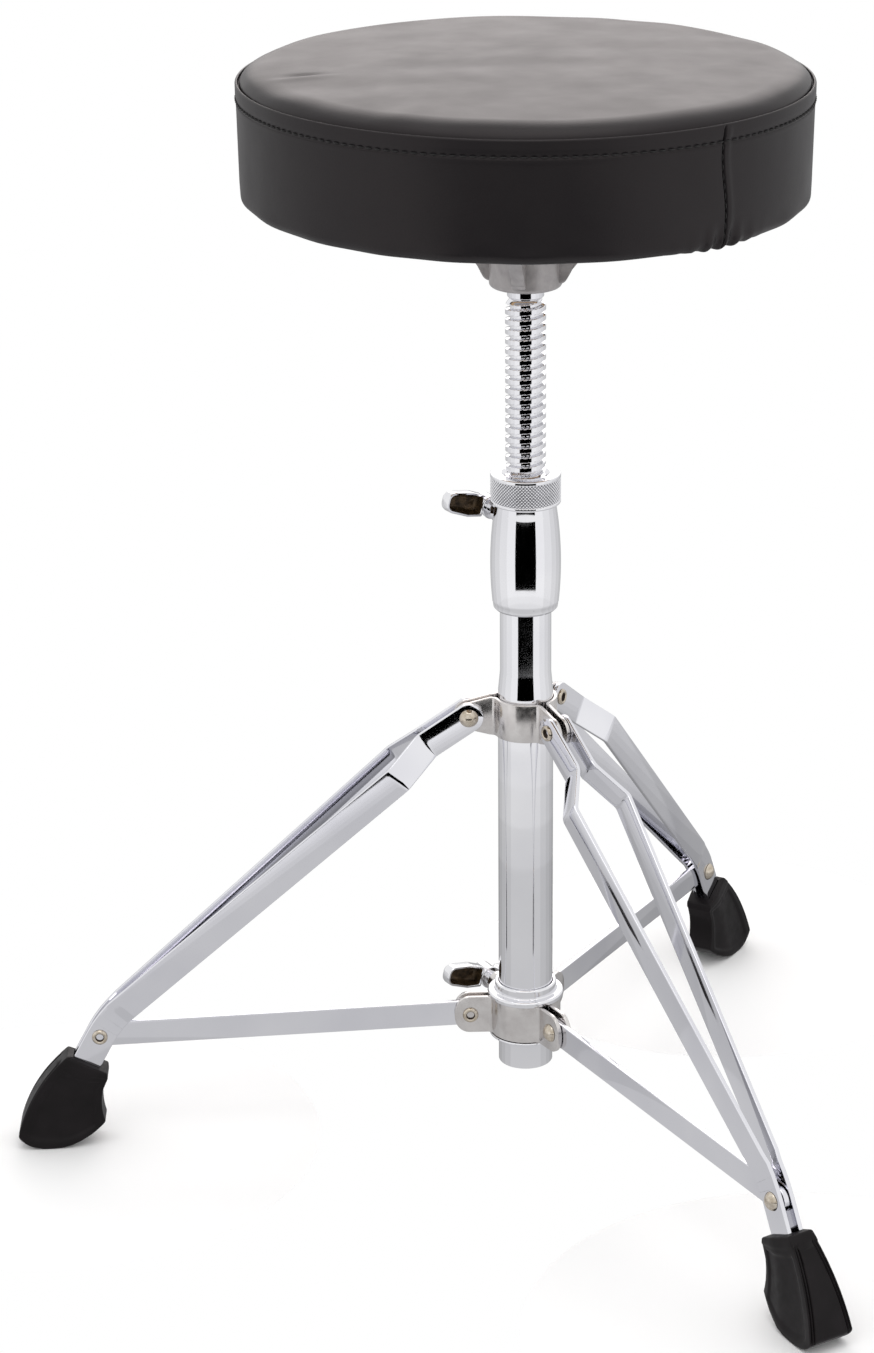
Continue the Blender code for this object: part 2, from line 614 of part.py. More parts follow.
def make_collar():
    """The sleeve that slides on the tube and carries the lower bracket, held by a rolled ring."""
    foot, flange, lip, top = COLLAR_Z
    bore = TUBE_LOWER_R + GAP
    body_r = LOW_BAND[0] - GAP
    profile = [
        (bore, foot), (body_r, foot), (body_r, flange), (COLLAR_FLANGE_R - 0.0008, flange),
        (COLLAR_FLANGE_R, flange + 0.0008), (COLLAR_FLANGE_R, lip - 0.0010),
        (COLLAR_FLANGE_R - 0.0010, lip), (COLLAR_LIP_R, lip + 0.0003),
        (COLLAR_LIP_R, top - 0.0010), (COLLAR_LIP_R - 0.0010, top), (bore, top),
    ]
    collar = node("leg_collar", turned(profile, steps=28), CHROME)
    boolean(collar, screw_cutter("leg_screw_collar_hole", 0.0140, 0.0195, LEG_SCREW_Z))
    boolean(collar, boss_clearance())
    ring_top = LOW_PIVOT_Z - LOW_BAND[2] - GAP
    ring = [(LOW_BAND[0], ring_top - 0.0028), (RING_FLARE_R - 0.0004, ring_top - 0.0014),
            (RING_FLARE_R, ring_top - 0.0007), (RING_FLARE_R - 0.0004, ring_top),
            (LOW_BAND[0], ring_top)]
    node("collar_retaining_ring", turned(ring, steps=28), CHROME)


def boss_clearance():
    """A notch under the collar's flange for the clamp screw's boss."""
    outline = [(0.0074, 0.0100), (0.0074, 0.0)]
    bm = solid_turned(outline, steps=20, matrix=along_y(0.0, 0.0181, LEG_SCREW_Z))
    return node("boss_clearance", bm, CHROME)


# ---------------------------------------------------------------- legs, stays, rivets, feet
def leg_route():
    """The middle line of a strip: (radius, height, lateral) from the top pivot to the foot."""
    start_angle = math.atan2(BEND_1[1] - TOP_PIVOT_Z, BEND_1[0] - PIVOT_R)
    route = []
    half = STRIP_W / 2
    for i in range(5):
        a = math.radians(6 + 84 * i / 4)
        back = half * math.cos(a)
        point = (PIVOT_R - back * math.cos(start_angle), TOP_PIVOT_Z - back * math.sin(start_angle))
        route.append((*point, LATERAL_TOP, half * math.sin(a)))
    route.append((*BEND_1, LATERAL_TOP, half))
    route.append((*BEND_2, LATERAL_WIDE, half))
    main_angle = math.atan2(KNEE_START[1] - BEND_2[1], KNEE_START[0] - BEND_2[0])
    fall = LATERAL_WIDE - LATERAL_FOOT
    route.append((*KNEE_START, LATERAL_WIDE - 0.93 * fall, half))
    x, z = KNEE_START
    chord = math.dist(KNEE_START, FOOT_PIVOT) / 4
    for i in range(4):
        a = main_angle + (KNEE_ANGLE - main_angle) * (i + 0.5) / 4
        x, z = x + chord * math.cos(a), z + chord * math.sin(a)
        route.append((x, z, LATERAL_FOOT, half))
    route.append((x + STRIP_END * math.cos(KNEE_ANGLE), z + STRIP_END * math.sin(KNEE_ANGLE),
                  LATERAL_FOOT, half))
    return route


def strip_stations(route, side):
    """Mitred stations along a strip. Its width stays in the leg's plane."""
    points = [Vector((x, side * lateral, z)) for x, z, lateral, _ in route]
    runs = [(b - a).normalized() for a, b in zip(points, points[1:])]
    wides = [Vector((-t.z, 0.0, t.x)).normalized() for t in runs]
    thicks = [t.cross(w).normalized() for t, w in zip(runs, wides)]
    stations = []
    for i, point in enumerate(points):
        before, after = max(i - 1, 0), min(i, len(runs) - 1)
        wide = (wides[before] + wides[after]).normalized()
        thick = (thicks[before] + thicks[after]).normalized()
        wide = wide / max(0.5, wide.dot(wides[after]))
        thick = thick / max(0.5, thick.dot(thicks[after]))
        stations.append((point, wide * route[i][3], thick * STRIP_T / 2))
    return stations


def make_strips(i, azimuth):
    for side, which in ((-1.0, "right"), (1.0, "left")):
        bm = bar(strip_stations(leg_route(), side))
        strip = node(f"leg_{i}_{which}_strip", bm, CHROME, pivot=foot_pivot(), azimuth=azimuth)
        boolean(strip, pin_holes["top", i - 1])
        boolean(strip, pin_holes["foot", i - 1])


def foot_pivot():
    return (FOOT_PIVOT[0], 0.0, FOOT_PIVOT[1])


def make_stay(i, azimuth):
    """A flat bar between the collar's ears and the leg's two strips, rounded at both ends."""
    inner = Vector((PIVOT_R, 0.0, LOW_PIVOT_Z))
    outer = Vector(foot_pivot())
    along = (outer - inner).normalized()
    wide = Vector((-along.z, 0.0, along.x))
    half = STAY_W / 2
    stations = []
    for centre, sign, order in ((inner, -1.0, range(5)), (outer, 1.0, range(4, -1, -1))):
        for k in order:
            a = math.radians(6 + 84 * k / 4)
            point = centre + along * sign * half * math.cos(a)
            stations.append((point, wide * half * math.sin(a), Vector((0, STAY_T / 2, 0))))
    bm = bar(stations)
    stay = node(f"stay_{i}", bm, CHROME, pivot=inner, azimuth=azimuth)
    boolean(stay, pin_holes["low", i - 1])
    boolean(stay, pin_holes["foot", i - 1])


def dome_points(base):
    """The domed head of a rivet, from its crown down to its rim at the base."""
    return [(0.0, base + DOME_H), (0.0034, base + DOME_H * 0.72), (DOME_R, base + 0.0004),
            (DOME_R, base)]


def rivet(name, x, z, near, far, azimuth, dome_side):
    """A rivet across a leg: a dome head at one end and a rolled, hollow end at the other.

    near and far are the faces under the rolled end and the dome, measured from the middle plane.
    """
    outline = [
        *dome_points(far), (RIVET_R, far), (RIVET_R, -near), (RING_R, -near),
        (RING_R - 0.0010, -near - RING_H), (0.0024, -near - RING_H), (0.0020, -near + 0.0008),
    ]
    turn = along_y(x, 0.0, z)
    if dome_side < 0:
        turn = turn @ Matrix.Rotation(math.pi, 4, "X")
    return node(name, solid_turned(outline, steps=12, matrix=turn), NICKEL,
                pivot=(x, 0.0, z), azimuth=azimuth)


def half_rivet(name, azimuth, side, domed):
    """The part of a top rivet that one strip carries, ending flush with its inner face."""
    out = LATERAL_TOP + STRIP_T / 2 + RIVET_CLEARANCE
    inside = LATERAL_TOP - STRIP_T / 2
    if domed:
        outline = [*dome_points(out), (RIVET_R, out), (RIVET_R, inside)]
    else:
        outline = [
            (0.0, out + 0.0004), (0.0020, out + 0.0004), (0.0024, out + RING_H),
            (RING_R - 0.0010, out + RING_H), (RING_R, out), (RIVET_R, out), (RIVET_R, inside),
        ]
    turn = along_y(PIVOT_R, 0.0, TOP_PIVOT_Z)
    if side < 0:
        turn = turn @ Matrix.Rotation(math.pi, 4, "X")
    node(name, solid_turned(outline, steps=12, matrix=turn), NICKEL,
         pivot=(PIVOT_R, 0.0, TOP_PIVOT_Z), azimuth=azimuth)


def foot_side_points(columns, rows):
    """The foot's side as a grid of (radius, height) points, rows from the crown to the sole.

    Its four edges are a bowed toe, a waisted heel, a straight crown and a rocker sole with a
    flat in the middle. Inside, the points are blended from the edges, as in a Coons patch.
    """
    toe = arc_through((0.2645, FOOT_HEIGHT), (0.2846, 0.0320), (FOOT_TOE_R, FOOT_TOE_Z), rows)
    heel = [(0.2420, 0.0455), (0.2418, 0.0415)]
    heel += arc_through((0.2448, 0.0345), (0.2457, 0.0255), (0.2440, 0.0140), rows - 2)
    flat = 0.004
    sole = [
        heel[-1], (0.2555, 0.0055), (SOLE_R - flat, 0.0), (SOLE_R + flat, 0.0),
        (0.2885, 0.0028), toe[-1],
    ]
    grid = []
    for r in range(rows + 1):
        t = r / rows
        row = []
        for c in range(columns + 1):
            s = c / columns
            point = []
            for k in (0, 1):
                crown = (1 - s) * heel[0][k] + s * toe[0][k]
                along = (1 - s) * heel[r][k] + s * toe[r][k] + (1 - t) * crown + t * sole[c][k]
                corners = (1 - t) * crown + t * ((1 - s) * heel[-1][k] + s * toe[-1][k])
                point.append(along - corners)
            row.append(point)
        grid.append(row)
    return grid


def foot_half_width(s, t):
    """Half width at shares s from heel to toe and t from crown to sole: two slopes each side."""
    toe = FOOT_TOE_HALF[0] + t * (FOOT_TOE_HALF[1] - FOOT_TOE_HALF[0])
    waist = FOOT_WAIST_HALF[0] + t * (FOOT_WAIST_HALF[1] - FOOT_WAIST_HALF[0])
    if s < FOOT_WAIST:
        return FOOT_HEEL_HALF + (waist - FOOT_HEEL_HALF) * s / FOOT_WAIST
    return waist + (toe - waist) * (s - FOOT_WAIST) / (1 - FOOT_WAIST)


def make_foot(i, azimuth):
    """The rubber foot: two sides, joined all round, and a socket for the strips' lower ends."""
    columns, rows = 5, 5
    side = foot_side_points(columns, rows)
    bm = bmesh.new()
    walls = []
    for sign in (-1.0, 1.0):
        walls.append([
            [bm.verts.new((x, sign * foot_half_width(c / columns, r / rows), z))
             for c, (x, z) in enumerate(row)]
            for r, row in enumerate(side)
        ])
    for wall in walls:
        for r in range(rows):
            for c in range(columns):
                bm.faces.new((wall[r][c], wall[r][c + 1], wall[r + 1][c + 1], wall[r + 1][c]))
    near, far = walls
    rim = [(0, c) for c in range(columns)] + [(r, columns) for r in range(rows)]
    rim += [(rows, c) for c in range(columns, 0, -1)] + [(r, 0) for r in range(rows, 0, -1)]
    for (r, c), (next_r, next_c) in zip(rim, rim[1:] + rim[:1]):
        bm.faces.new((near[r][c], far[r][c], far[next_r][next_c], near[next_r][next_c]))
    foot = node(f"rubber_foot_{i}", bm, RUBBER, pivot=foot_pivot(), azimuth=azimuth)
    along = Vector((math.cos(KNEE_ANGLE), 0.0, math.sin(KNEE_ANGLE)))
    route = leg_route()
    end = Vector((route[-1][0], 0.0, route[-1][1])) + along * GAP
    wide = Vector((-along.z, 0.0, along.x)) * (STRIP_W / 2 + GAP)
    thick = Vector((0.0, LATERAL_FOOT + STRIP_T / 2 + GAP, 0.0))
    bm = bar([(end - along * STRIP_END, wide, thick), (end, wide, thick)])
    boolean(foot, node(f"foot_{i}_socket", bm, RUBBER, azimuth=azimuth))


def make_legs():
    strip_out = LATERAL_FOOT + STRIP_T / 2 + RIVET_CLEARANCE
    ear_out = LOW_EAR_LATERAL + LOW_BAND[1] / 2 + RIVET_CLEARANCE
    for i, azimuth in enumerate(LEG_AZIMUTHS, start=1):
        make_strips(i, azimuth)
        make_stay(i, azimuth)
        make_foot(i, azimuth)
        rivet(f"foot_rivet_{i}", *FOOT_PIVOT, strip_out, strip_out, azimuth, -1)
        rivet(f"stay_rivet_{i}", PIVOT_R, LOW_PIVOT_Z, ear_out, ear_out, azimuth, -1)
        half_rivet(f"top_rivet_{i}_head", azimuth, 1, True)
        half_rivet(f"top_rivet_{i}_tail", azimuth, -1, False)


def make_pin_holes():
    """One cutter for each leg's three pins, shared by every piece that a pin goes through."""
    holes = {}
    for i, azimuth in enumerate(LEG_AZIMUTHS):
        for which, x, z in (
            ("top", PIVOT_R, TOP_PIVOT_Z), ("low", PIVOT_R, LOW_PIVOT_Z), ("foot", *FOOT_PIVOT),
        ):
            holes[which, i] = pin_cutter(f"{which}_hole_{i + 1}", x, z, RIVET_HOLE_R, azimuth)
    return holes


pin_holes = make_pin_holes()
make_seat_bracket(make_seat())
make_post()
make_height_nut()
make_centre_tube()
make_post_housing()
make_clamps()
make_brackets()
make_collar()
make_legs()
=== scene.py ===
import json
import math

import bmesh
import bpy
import numpy as np
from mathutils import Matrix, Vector


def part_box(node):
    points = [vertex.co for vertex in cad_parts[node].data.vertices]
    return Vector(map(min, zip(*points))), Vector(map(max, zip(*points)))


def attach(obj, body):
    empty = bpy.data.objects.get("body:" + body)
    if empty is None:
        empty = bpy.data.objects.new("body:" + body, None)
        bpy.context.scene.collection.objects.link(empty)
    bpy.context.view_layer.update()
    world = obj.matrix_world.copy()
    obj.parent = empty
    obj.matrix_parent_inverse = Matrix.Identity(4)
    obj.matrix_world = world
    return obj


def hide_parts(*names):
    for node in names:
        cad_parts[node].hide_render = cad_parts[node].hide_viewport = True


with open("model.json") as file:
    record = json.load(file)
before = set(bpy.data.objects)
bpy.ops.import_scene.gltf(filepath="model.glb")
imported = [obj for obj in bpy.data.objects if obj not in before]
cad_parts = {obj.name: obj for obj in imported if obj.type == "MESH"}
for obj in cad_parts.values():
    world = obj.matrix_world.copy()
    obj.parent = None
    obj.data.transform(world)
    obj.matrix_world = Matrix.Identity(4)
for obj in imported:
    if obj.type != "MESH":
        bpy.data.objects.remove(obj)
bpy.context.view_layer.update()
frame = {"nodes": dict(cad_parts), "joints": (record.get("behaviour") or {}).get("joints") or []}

# ---------------------------------------------------------------- camera and studio
# A white table in a white room. Polished metal shows what stands round it, so what it mirrors is
# laid out as flat glowing ring sectors: grey near the stand, white further out, greyer away from
# the camera, and black past the table's edge towards the camera.
tube_low, tube_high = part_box("centre_tube")
axis_x = (tube_low.x + tube_high.x) / 2
axis_y = (tube_low.y + tube_high.y) / 2
scene = bpy.context.scene
view_azimuth = 57.12

camera_data = bpy.data.cameras.new("camera")
camera_data.lens = 96.0
camera_data.sensor_width = 36.0
camera_data.shift_x = -0.0654
camera_data.shift_y = -0.0081
camera = bpy.data.objects.new("camera", camera_data)
camera.location = (axis_x - 1.0215, axis_y - 1.5801, 1.0028)
camera.rotation_euler = (math.radians(90.0 - 20.76), 0.0, math.radians(view_azimuth - 90.0))
scene.collection.objects.link(camera)
scene.camera = camera
scene.view_settings.view_transform = "Standard"

world = bpy.data.worlds.new("white_room")
scene.world = world
world.use_nodes = True
world.node_tree.nodes["Background"].inputs["Color"].default_value = (1.0, 1.0, 1.0, 1.0)
world.node_tree.nodes["Background"].inputs["Strength"].default_value = 1.0


def add(tree, kind, inputs=None, **settings):
    """Adds a shader node with its settings; an input is a value or another node's socket."""
    node = tree.nodes.new("ShaderNode" + kind)
    for key, value in settings.items():
        setattr(node, key, value)
    for key, value in (inputs or {}).items():
        if isinstance(value, bpy.types.NodeSocket):
            tree.links.new(value, node.inputs[key])
        else:
            node.inputs[key].default_value = value
    return node


def flat_card(name, points, colour, strength):
    """A flat, glowing sheet, or a plain matt one where strength is 0."""
    material = bpy.data.materials.new(name)
    material.use_nodes = True
    shader = material.node_tree.nodes["Principled BSDF"]
    matt = (0.0, 0.0, 0.0) if strength else colour
    shader.inputs["Base Color"].default_value = (*matt, 1.0)
    shader.inputs["Roughness"].default_value = 1.0
    shader.inputs["Specular IOR Level"].default_value = 0.0
    shader.inputs["Emission Color"].default_value = (*colour, 1.0)
    shader.inputs["Emission Strength"].default_value = strength
    mesh = bpy.data.meshes.new(name)
    mesh.from_pydata(points.tolist(), [], [list(range(len(points)))])
    mesh.materials.append(material)
    card = bpy.data.objects.new(name, mesh)
    scene.collection.objects.link(card)
    return card


def table_zone(name, inner, outer, start, end, colour):
    """A ring sector on the table, angles from the camera's side, that only reflections show."""
    angles = np.radians(view_azimuth + 180.0 + np.linspace(start, end, 49))
    near = np.stack([np.cos(angles), np.sin(angles)], 1) * inner
    far = np.stack([np.cos(angles), np.sin(angles)], 1)[::-1] * outer
    flat = np.concatenate([near, far]) + (axis_x, axis_y)
    points = np.column_stack([flat, np.full(len(flat), card_z)])
    card = flat_card(name, points, colour, 1.0)
    card.visible_camera = False
    card.visible_diffuse = False
    card.visible_shadow = False
    card.visible_transmission = False


# The table itself shows only as a round patch under each foot, where its shadow falls. Past the
# patches it is as white as the room, and a patch can't be seen from below.
patch_r = 0.15
patch_away = 0.27
for joint in frame["joints"]:
    if joint["name"].startswith("leg_") and joint["name"].endswith("_fold"):
        turn = np.linspace(0, 2 * math.pi, 48, endpoint=False)
        leg_way = Vector((joint["pos_m"][0] - axis_x, joint["pos_m"][1] - axis_y)).normalized()
        patch = np.column_stack([axis_x + patch_away * leg_way.x + patch_r * np.cos(turn),
                                 axis_y + patch_away * leg_way.y + patch_r * np.sin(turn),
                                 0 * turn])
        card = flat_card("table_patch_" + joint["name"], patch, (0.92, 0.92, 0.92), 0.0)
        tree = card.data.materials[0].node_tree
        back = add(tree, "NewGeometry").outputs["Backfacing"]
        front = add(tree, "Math", {0: 1.0, 1: back}, operation="SUBTRACT")
        tree.links.new(front.outputs["Value"], tree.nodes["Principled BSDF"].inputs["Alpha"])

table_edge = 0.755
card_z = 0.0004
ring_edges = [0.001, *np.linspace(0.40, table_edge, 6), 7.9]
ring_tones = [*np.linspace(0.66, 1.0, 6), 1.0]
# Towards the camera the floor past the table is dark; beside that it is white, greyer to the back.
sector_edges = [0.0, 34.0, 64.0, 94.0, 118.0, 140.0, 160.0, 180.0]
sector_tones = [1.0, 1.0, 0.90, 0.80, 0.70, 0.60, 0.48]
for ring, ring_tone in enumerate(ring_tones):
    for sector, sector_tone in enumerate(sector_tones):
        for side in (-1.0, 1.0):
            dark = ring == len(ring_tones) - 1 and sector == 0
            tone = 0.0 if dark else ring_tone * sector_tone
            table_zone(f"table_{ring}_{sector}_{side:+.0f}", ring_edges[ring],
                       ring_edges[ring + 1], side * sector_edges[sector],
                       side * sector_edges[sector + 1], (tone, tone, tone * 1.01))


def softbox(name, azimuth, elevation, distance, size, radiance, colour=(1.0, 1.0, 1.0)):
    """A square lamp that looks at the seat; its power follows from the radiance asked for."""
    aim = Vector((axis_x, axis_y, 0.35))
    a, e = math.radians(azimuth), math.radians(elevation)
    away = Vector((math.cos(a) * math.cos(e), math.sin(a) * math.cos(e), math.sin(e)))
    data = bpy.data.lights.new(name, "AREA")
    data.shape = "SQUARE"
    data.size = size
    data.energy = radiance * math.pi * size * size
    data.color = colour
    lamp = bpy.data.objects.new(name, data)
    lamp.location = aim + away * distance
    lamp.rotation_euler = (-away).to_track_quat("-Z", "Y").to_euler()
    lamp.visible_camera = False
    scene.collection.objects.link(lamp)


softbox("overhead_softbox", view_azimuth + 180.0, 80.0, 2.6, 2.2, 1.1)
softbox("back_softbox", view_azimuth, 28.0, 3.0, 2.0, 1.7, (1.0, 0.92, 0.90))

# ---------------------------------------------------------------- centre tube
# Drawn steel tube, swaged down to a smaller size above the leg bracket, then nickel and chrome
# plated. Chrome plate is a mirror with a faint cool tint; the cut end, only thinly plated, is
# drawn in the same chrome.


def srgb(code):
    """The linear colour of an sRGB hex code."""
    share = np.array([int(code[i:i + 2], 16) for i in (0, 2, 4)]) / 255.0
    linear = np.where(share <= 0.04045, share / 12.92, ((share + 0.055) / 1.055) ** 2.4)
    return (*linear.tolist(), 1.0)


def new_finish(name, **sockets):
    """A material: itself, its tree, its Principled shader and the Object coordinates."""
    material = bpy.data.materials.new(name)
    material.use_nodes = True
    tree = material.node_tree
    shader = tree.nodes["Principled BSDF"]
    for key, value in sockets.items():
        shader.inputs[key.replace("_", " ")].default_value = value
    return material, tree, shader, add(tree, "TexCoord").outputs["Object"]


def mottle(tree, place, size_mm, low, high, detail=3.0, stretch=(1.0, 1.0, 1.0)):
    """A soft noise with features of size_mm, mapped to the range low to high."""
    moved = add(tree, "Mapping", {"Vector": place, "Scale": stretch}).outputs["Vector"]
    noise = add(tree, "TexNoise", {"Vector": moved, "Scale": 1000.0 / size_mm, "Detail": detail})
    spread = add(tree, "MapRange", {
        "Value": noise.outputs["Fac"], "From Min": 0.3, "From Max": 0.7,
        "To Min": low, "To Max": high,
    })
    return spread.outputs["Result"]


def dress(tree, shader, place, dark, light, colour_mm, rough, rough_mm, relief=None):
    """Colour between two tones, roughness between two values and, if given, a bump of
    (feature size in mm, depth in mm, strength), all from noise on the piece's own place."""
    tone = mottle(tree, place, colour_mm, 0.0, 1.0)
    mix = add(tree, "Mix", {"Factor": tone, "A": srgb(dark), "B": srgb(light)}, data_type="RGBA")
    tree.links.new(mix.outputs["Result"], shader.inputs["Base Color"])
    tree.links.new(mottle(tree, place, rough_mm, *rough), shader.inputs["Roughness"])
    if relief:
        size_mm, depth_mm, strength = relief
        height = mottle(tree, place, size_mm, 0.0, 1.0)
        bump = add(tree, "Bump", {"Height": height, "Distance": depth_mm / 1000.0,
                                  "Strength": strength})
        tree.links.new(bump.outputs["Normal"], shader.inputs["Normal"])


def finish(name, *look, **sockets):
    """A whole material: its even sockets, then what dress takes."""
    material, tree, shader, place = new_finish(name, **sockets)
    dress(tree, shader, place, *look)
    return material


# A mirror, with faint handling marks of about 20 mm in its roughness.
chrome_tube = finish("chrome_plated_tube", "e2e2e6", "eeeef0", 60.0, (0.03, 0.07), 20.0,
                     Metallic=1.0)


def rounded(corners, radii, closed=False, steps=6):
    """A polyline with its corners rounded. Each corner becomes an arc tangent to both sides, and
    a guard point beyond each end of the arc keeps the flat next to it flat when it is shaded."""
    corners = [np.array(c, float) for c in corners]
    points = []
    for i, here in enumerate(corners):
        if radii[i] == 0 or (not closed and i in (0, len(corners) - 1)):
            points.append(here)
            continue
        to_before = corners[i - 1] - here
        to_after = corners[(i + 1) % len(corners)] - here
        u, v = to_before / np.linalg.norm(to_before), to_after / np.linalg.norm(to_after)
        half = math.acos(float(np.clip(u @ v, -1, 1))) / 2
        middle = (u + v) / np.linalg.norm(u + v)
        side = (v - u) / np.linalg.norm(v - u)
        centre = here + middle * radii[i] / math.sin(half)
        reach = radii[i] / math.tan(half)
        turn = np.linspace(half - math.pi / 2, math.pi / 2 - half, steps + 1)[:, None]
        points.append(here + u * (reach + 0.2 * radii[i]))
        points.extend(centre + radii[i] * (np.sin(turn) * side - np.cos(turn) * middle))
        points.append(here + v * (reach + 0.2 * radii[i]))
    return np.array(points)


def quads(rows, columns, closed_rows=False, closed_columns=True):
    """The four-cornered faces of a grid of points numbered row by row."""
    r = np.arange(rows if closed_rows else rows - 1)[:, None]
    c = np.arange(columns if closed_columns else columns - 1)[None, :]
    next_r, next_c = (r + 1) % rows, (c + 1) % columns
    corners = (r * columns + c, r * columns + next_c, next_r * columns + next_c,
               next_r * columns + c)
    return np.stack([np.broadcast_to(k, (r.size, c.size)).ravel() for k in corners], 1)


def turned(radius, angle, height):
    """Points about Z: x = r cos a, y = r sin a, z = height."""
    return np.stack([radius * np.cos(angle), radius * np.sin(angle), height + 0 * angle], -1)


def skin(points, closed_rows=False):
    """A grid of points as one shell: the points in one list, and the grid's faces."""
    return points.reshape(-1, 3), [quads(*points.shape[:2], closed_rows=closed_rows)]


def lathe(profile, steps=96, closed=True):
    """Turns a profile of (radius, height) about Z. One that isn't closed starts and ends on the
    axis."""
    a = np.linspace(0, 2 * math.pi, steps, endpoint=False)
    r, z = np.asarray(profile, float).T[:, :, None]
    return skin(turned(r, a, z), closed)


def at_post(shell):
    """Moves a shell from the Z axis to the post's axis."""
    points, faces = shell
    return points + (axis_x, axis_y, 0.0), faces


def outwards(points, faces):
    """The faces, turned round if the solid they enclose comes out with a negative volume."""
    volume = 0.0
    for group in faces:
        for k in range(1, group.shape[1] - 1):
            a, b, c = points[group[:, 0]], points[group[:, k]], points[group[:, k + 1]]
            volume += np.einsum("ij,ij->i", a, np.cross(b, c)).sum()
    return [group[:, ::-1] for group in faces] if volume < 0 else faces


def make_piece(name, shells, material, body, replaces=(), crease=38.0):
    """Joins closed shells into one mesh, welds their seams and poles, and rides it on a body."""
    places, loops, sizes, start = [], [], [], 0
    for points, faces in shells:
        for group in outwards(points, faces):
            loops.append((group + start).ravel())
            sizes.append(np.full(len(group), group.shape[1]))
        places.append(points)
        start += len(points)
    places, loops, sizes = np.concatenate(places), np.concatenate(loops), np.concatenate(sizes)
    mesh = bpy.data.meshes.new(name)
    mesh.vertices.add(len(places))
    mesh.vertices.foreach_set("co", places.astype(np.float32).ravel())
    mesh.loops.add(len(loops))
    mesh.loops.foreach_set("vertex_index", loops.astype(np.int32))
    mesh.polygons.add(len(sizes))
    starts = np.concatenate([[0], np.cumsum(sizes)[:-1]])
    mesh.polygons.foreach_set("loop_start", starts.astype(np.int32))
    mesh.update(calc_edges=True)
    work = bmesh.new()
    work.from_mesh(mesh)
    bmesh.ops.remove_doubles(work, verts=work.verts, dist=2e-7)
    work.to_mesh(mesh)
    work.free()
    mesh.shade_smooth()
    mesh.set_sharp_from_angle(angle=math.radians(crease))
    mesh.materials.append(material)
    piece = bpy.data.objects.new(name, mesh)
    scene.collection.objects.link(piece)
    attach(piece, body)
    if replaces:
        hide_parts(*replaces)
    return piece


tube_wall = 0.0015
tube_r = (tube_high.x - tube_low.x) / 2
upper_tube_r = 0.0143
swage_z = (0.2745, 0.2870)
tube_corners = [
    (tube_r - tube_wall, tube_low.z), (tube_r, tube_low.z), (tube_r, swage_z[0]),
    (upper_tube_r, swage_z[1]), (upper_tube_r, tube_high.z),
    (upper_tube_r - tube_wall, tube_high.z),
    (upper_tube_r - tube_wall, swage_z[1]), (tube_r - tube_wall, swage_z[0]),
]
tube_radii = (0.0004, 0.0006, 0.009, 0.009, 0.0005, 0.0004, 0.0, 0.0)
make_piece("centre_tube_drawn", [at_post(lathe(rounded(tube_corners, tube_radii, True), 128))],
           chrome_tube, "stand", ["centre_tube"])

# ---------------------------------------------------------------- post housing
# A turned barrel pressed over the tube's top, with a boss at the back that takes the clamp
# screw. Polished, then chrome plated like the tube. The nylon bush below it guides the post.
housing_low, housing_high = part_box("post_housing")
shoe_low, shoe_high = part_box("height_clamp_shoe")
post_r = 0.01105


def barrel_side(count=40):
    """The barrel's side, one parabola: radius against height through foot, belly and rim."""
    heights = np.array([0.0045, 0.0234, 0.0565]) + housing_low.z
    curve = np.polyfit(heights, [0.0184, 0.01950, 0.0174], 2)
    z = np.linspace(heights[0], heights[2], count)
    return np.column_stack([np.polyval(curve, z), z])


socket_r = upper_tube_r + 0.0003
neck_r = post_r + 0.0006
housing_foot = rounded(
    [(socket_r, housing_low.z + 0.004), (socket_r, housing_low.z), (0.0166, housing_low.z),
     (0.0178, housing_low.z + 0.0012), (0.0182, housing_low.z + 0.0040)],
    (0, 0.0003, 0.0006, 0.0008, 0))
housing_rim = rounded(
    [(0.01730, housing_high.z - 0.0042), (0.01677, housing_high.z), (neck_r, housing_high.z),
     (neck_r, tube_high.z + 0.0003), (socket_r, tube_high.z + 0.0003)],
    (0, 0.0006, 0.0004, 0.0002, 0))
housing_profile = np.concatenate([housing_foot, barrel_side(), housing_rim])


def along(shell, origin, axis, out):
    """Lays a shell turned about Z along another axis, with its own X pointing to out."""
    points, faces = shell
    axis, out = np.array(axis, float), np.array(out, float)
    return points @ np.stack([out, np.cross(axis, out), axis]) + np.array(origin, float), faces


def ring_profile(inner, outer, low, high, radius):
    """A ring's section, its four corners rounded alike."""
    corners = [(inner, low), (outer, low), (outer, high), (inner, high)]
    return rounded(corners, (radius,) * 4, True)


height_screw_z = (shoe_low.z + shoe_high.z) / 2
boss_start = 0.0150
boss_end = housing_high.y - axis_y
boss_bore = 0.0043
boss = lathe(ring_profile(boss_bore, 0.0068, boss_start, boss_end, 0.0005), 48)
boss = along(boss, (axis_x, axis_y, height_screw_z), (0, 1, 0), (1, 0, 0))
make_piece("post_housing_barrel", [at_post(lathe(housing_profile, 128)), boss],
           chrome_tube, "stand", ["post_housing"])

# Nylon lets a little light in, which softens its shadows.
nylon = finish("turned_nylon", "dcdccf", "ecebe2", 12.0, (0.42, 0.52), 3.0, (0.8, 0.03, 0.3),
               Subsurface_Weight=0.08)


def give_finish(material, *nodes):
    """Gives CAD nodes that show as they are a finer material in the slot they have."""
    for node in nodes:
        frame["nodes"][node].material_slots[0].material = material


give_finish(nylon, "post_guide_bush")

# ---------------------------------------------------------------- top leg bracket
# Three plates pressed from 2 mm steel strip, spot welded round the tube, with an ear at each end
# that takes a leg strip's rivet. Satin nickel, brushed along the strip before it was pressed.
# Brushing scratches are 0.05 mm apart; they are drawn at 0.6 mm so that they still show.
satin_steel = finish("satin_nickel_plate", "cbc7c5", "dcd9d7", 9.0, (0.17, 0.26), 4.0,
                     (0.6, 0.01, 0.10), Metallic=1.0)


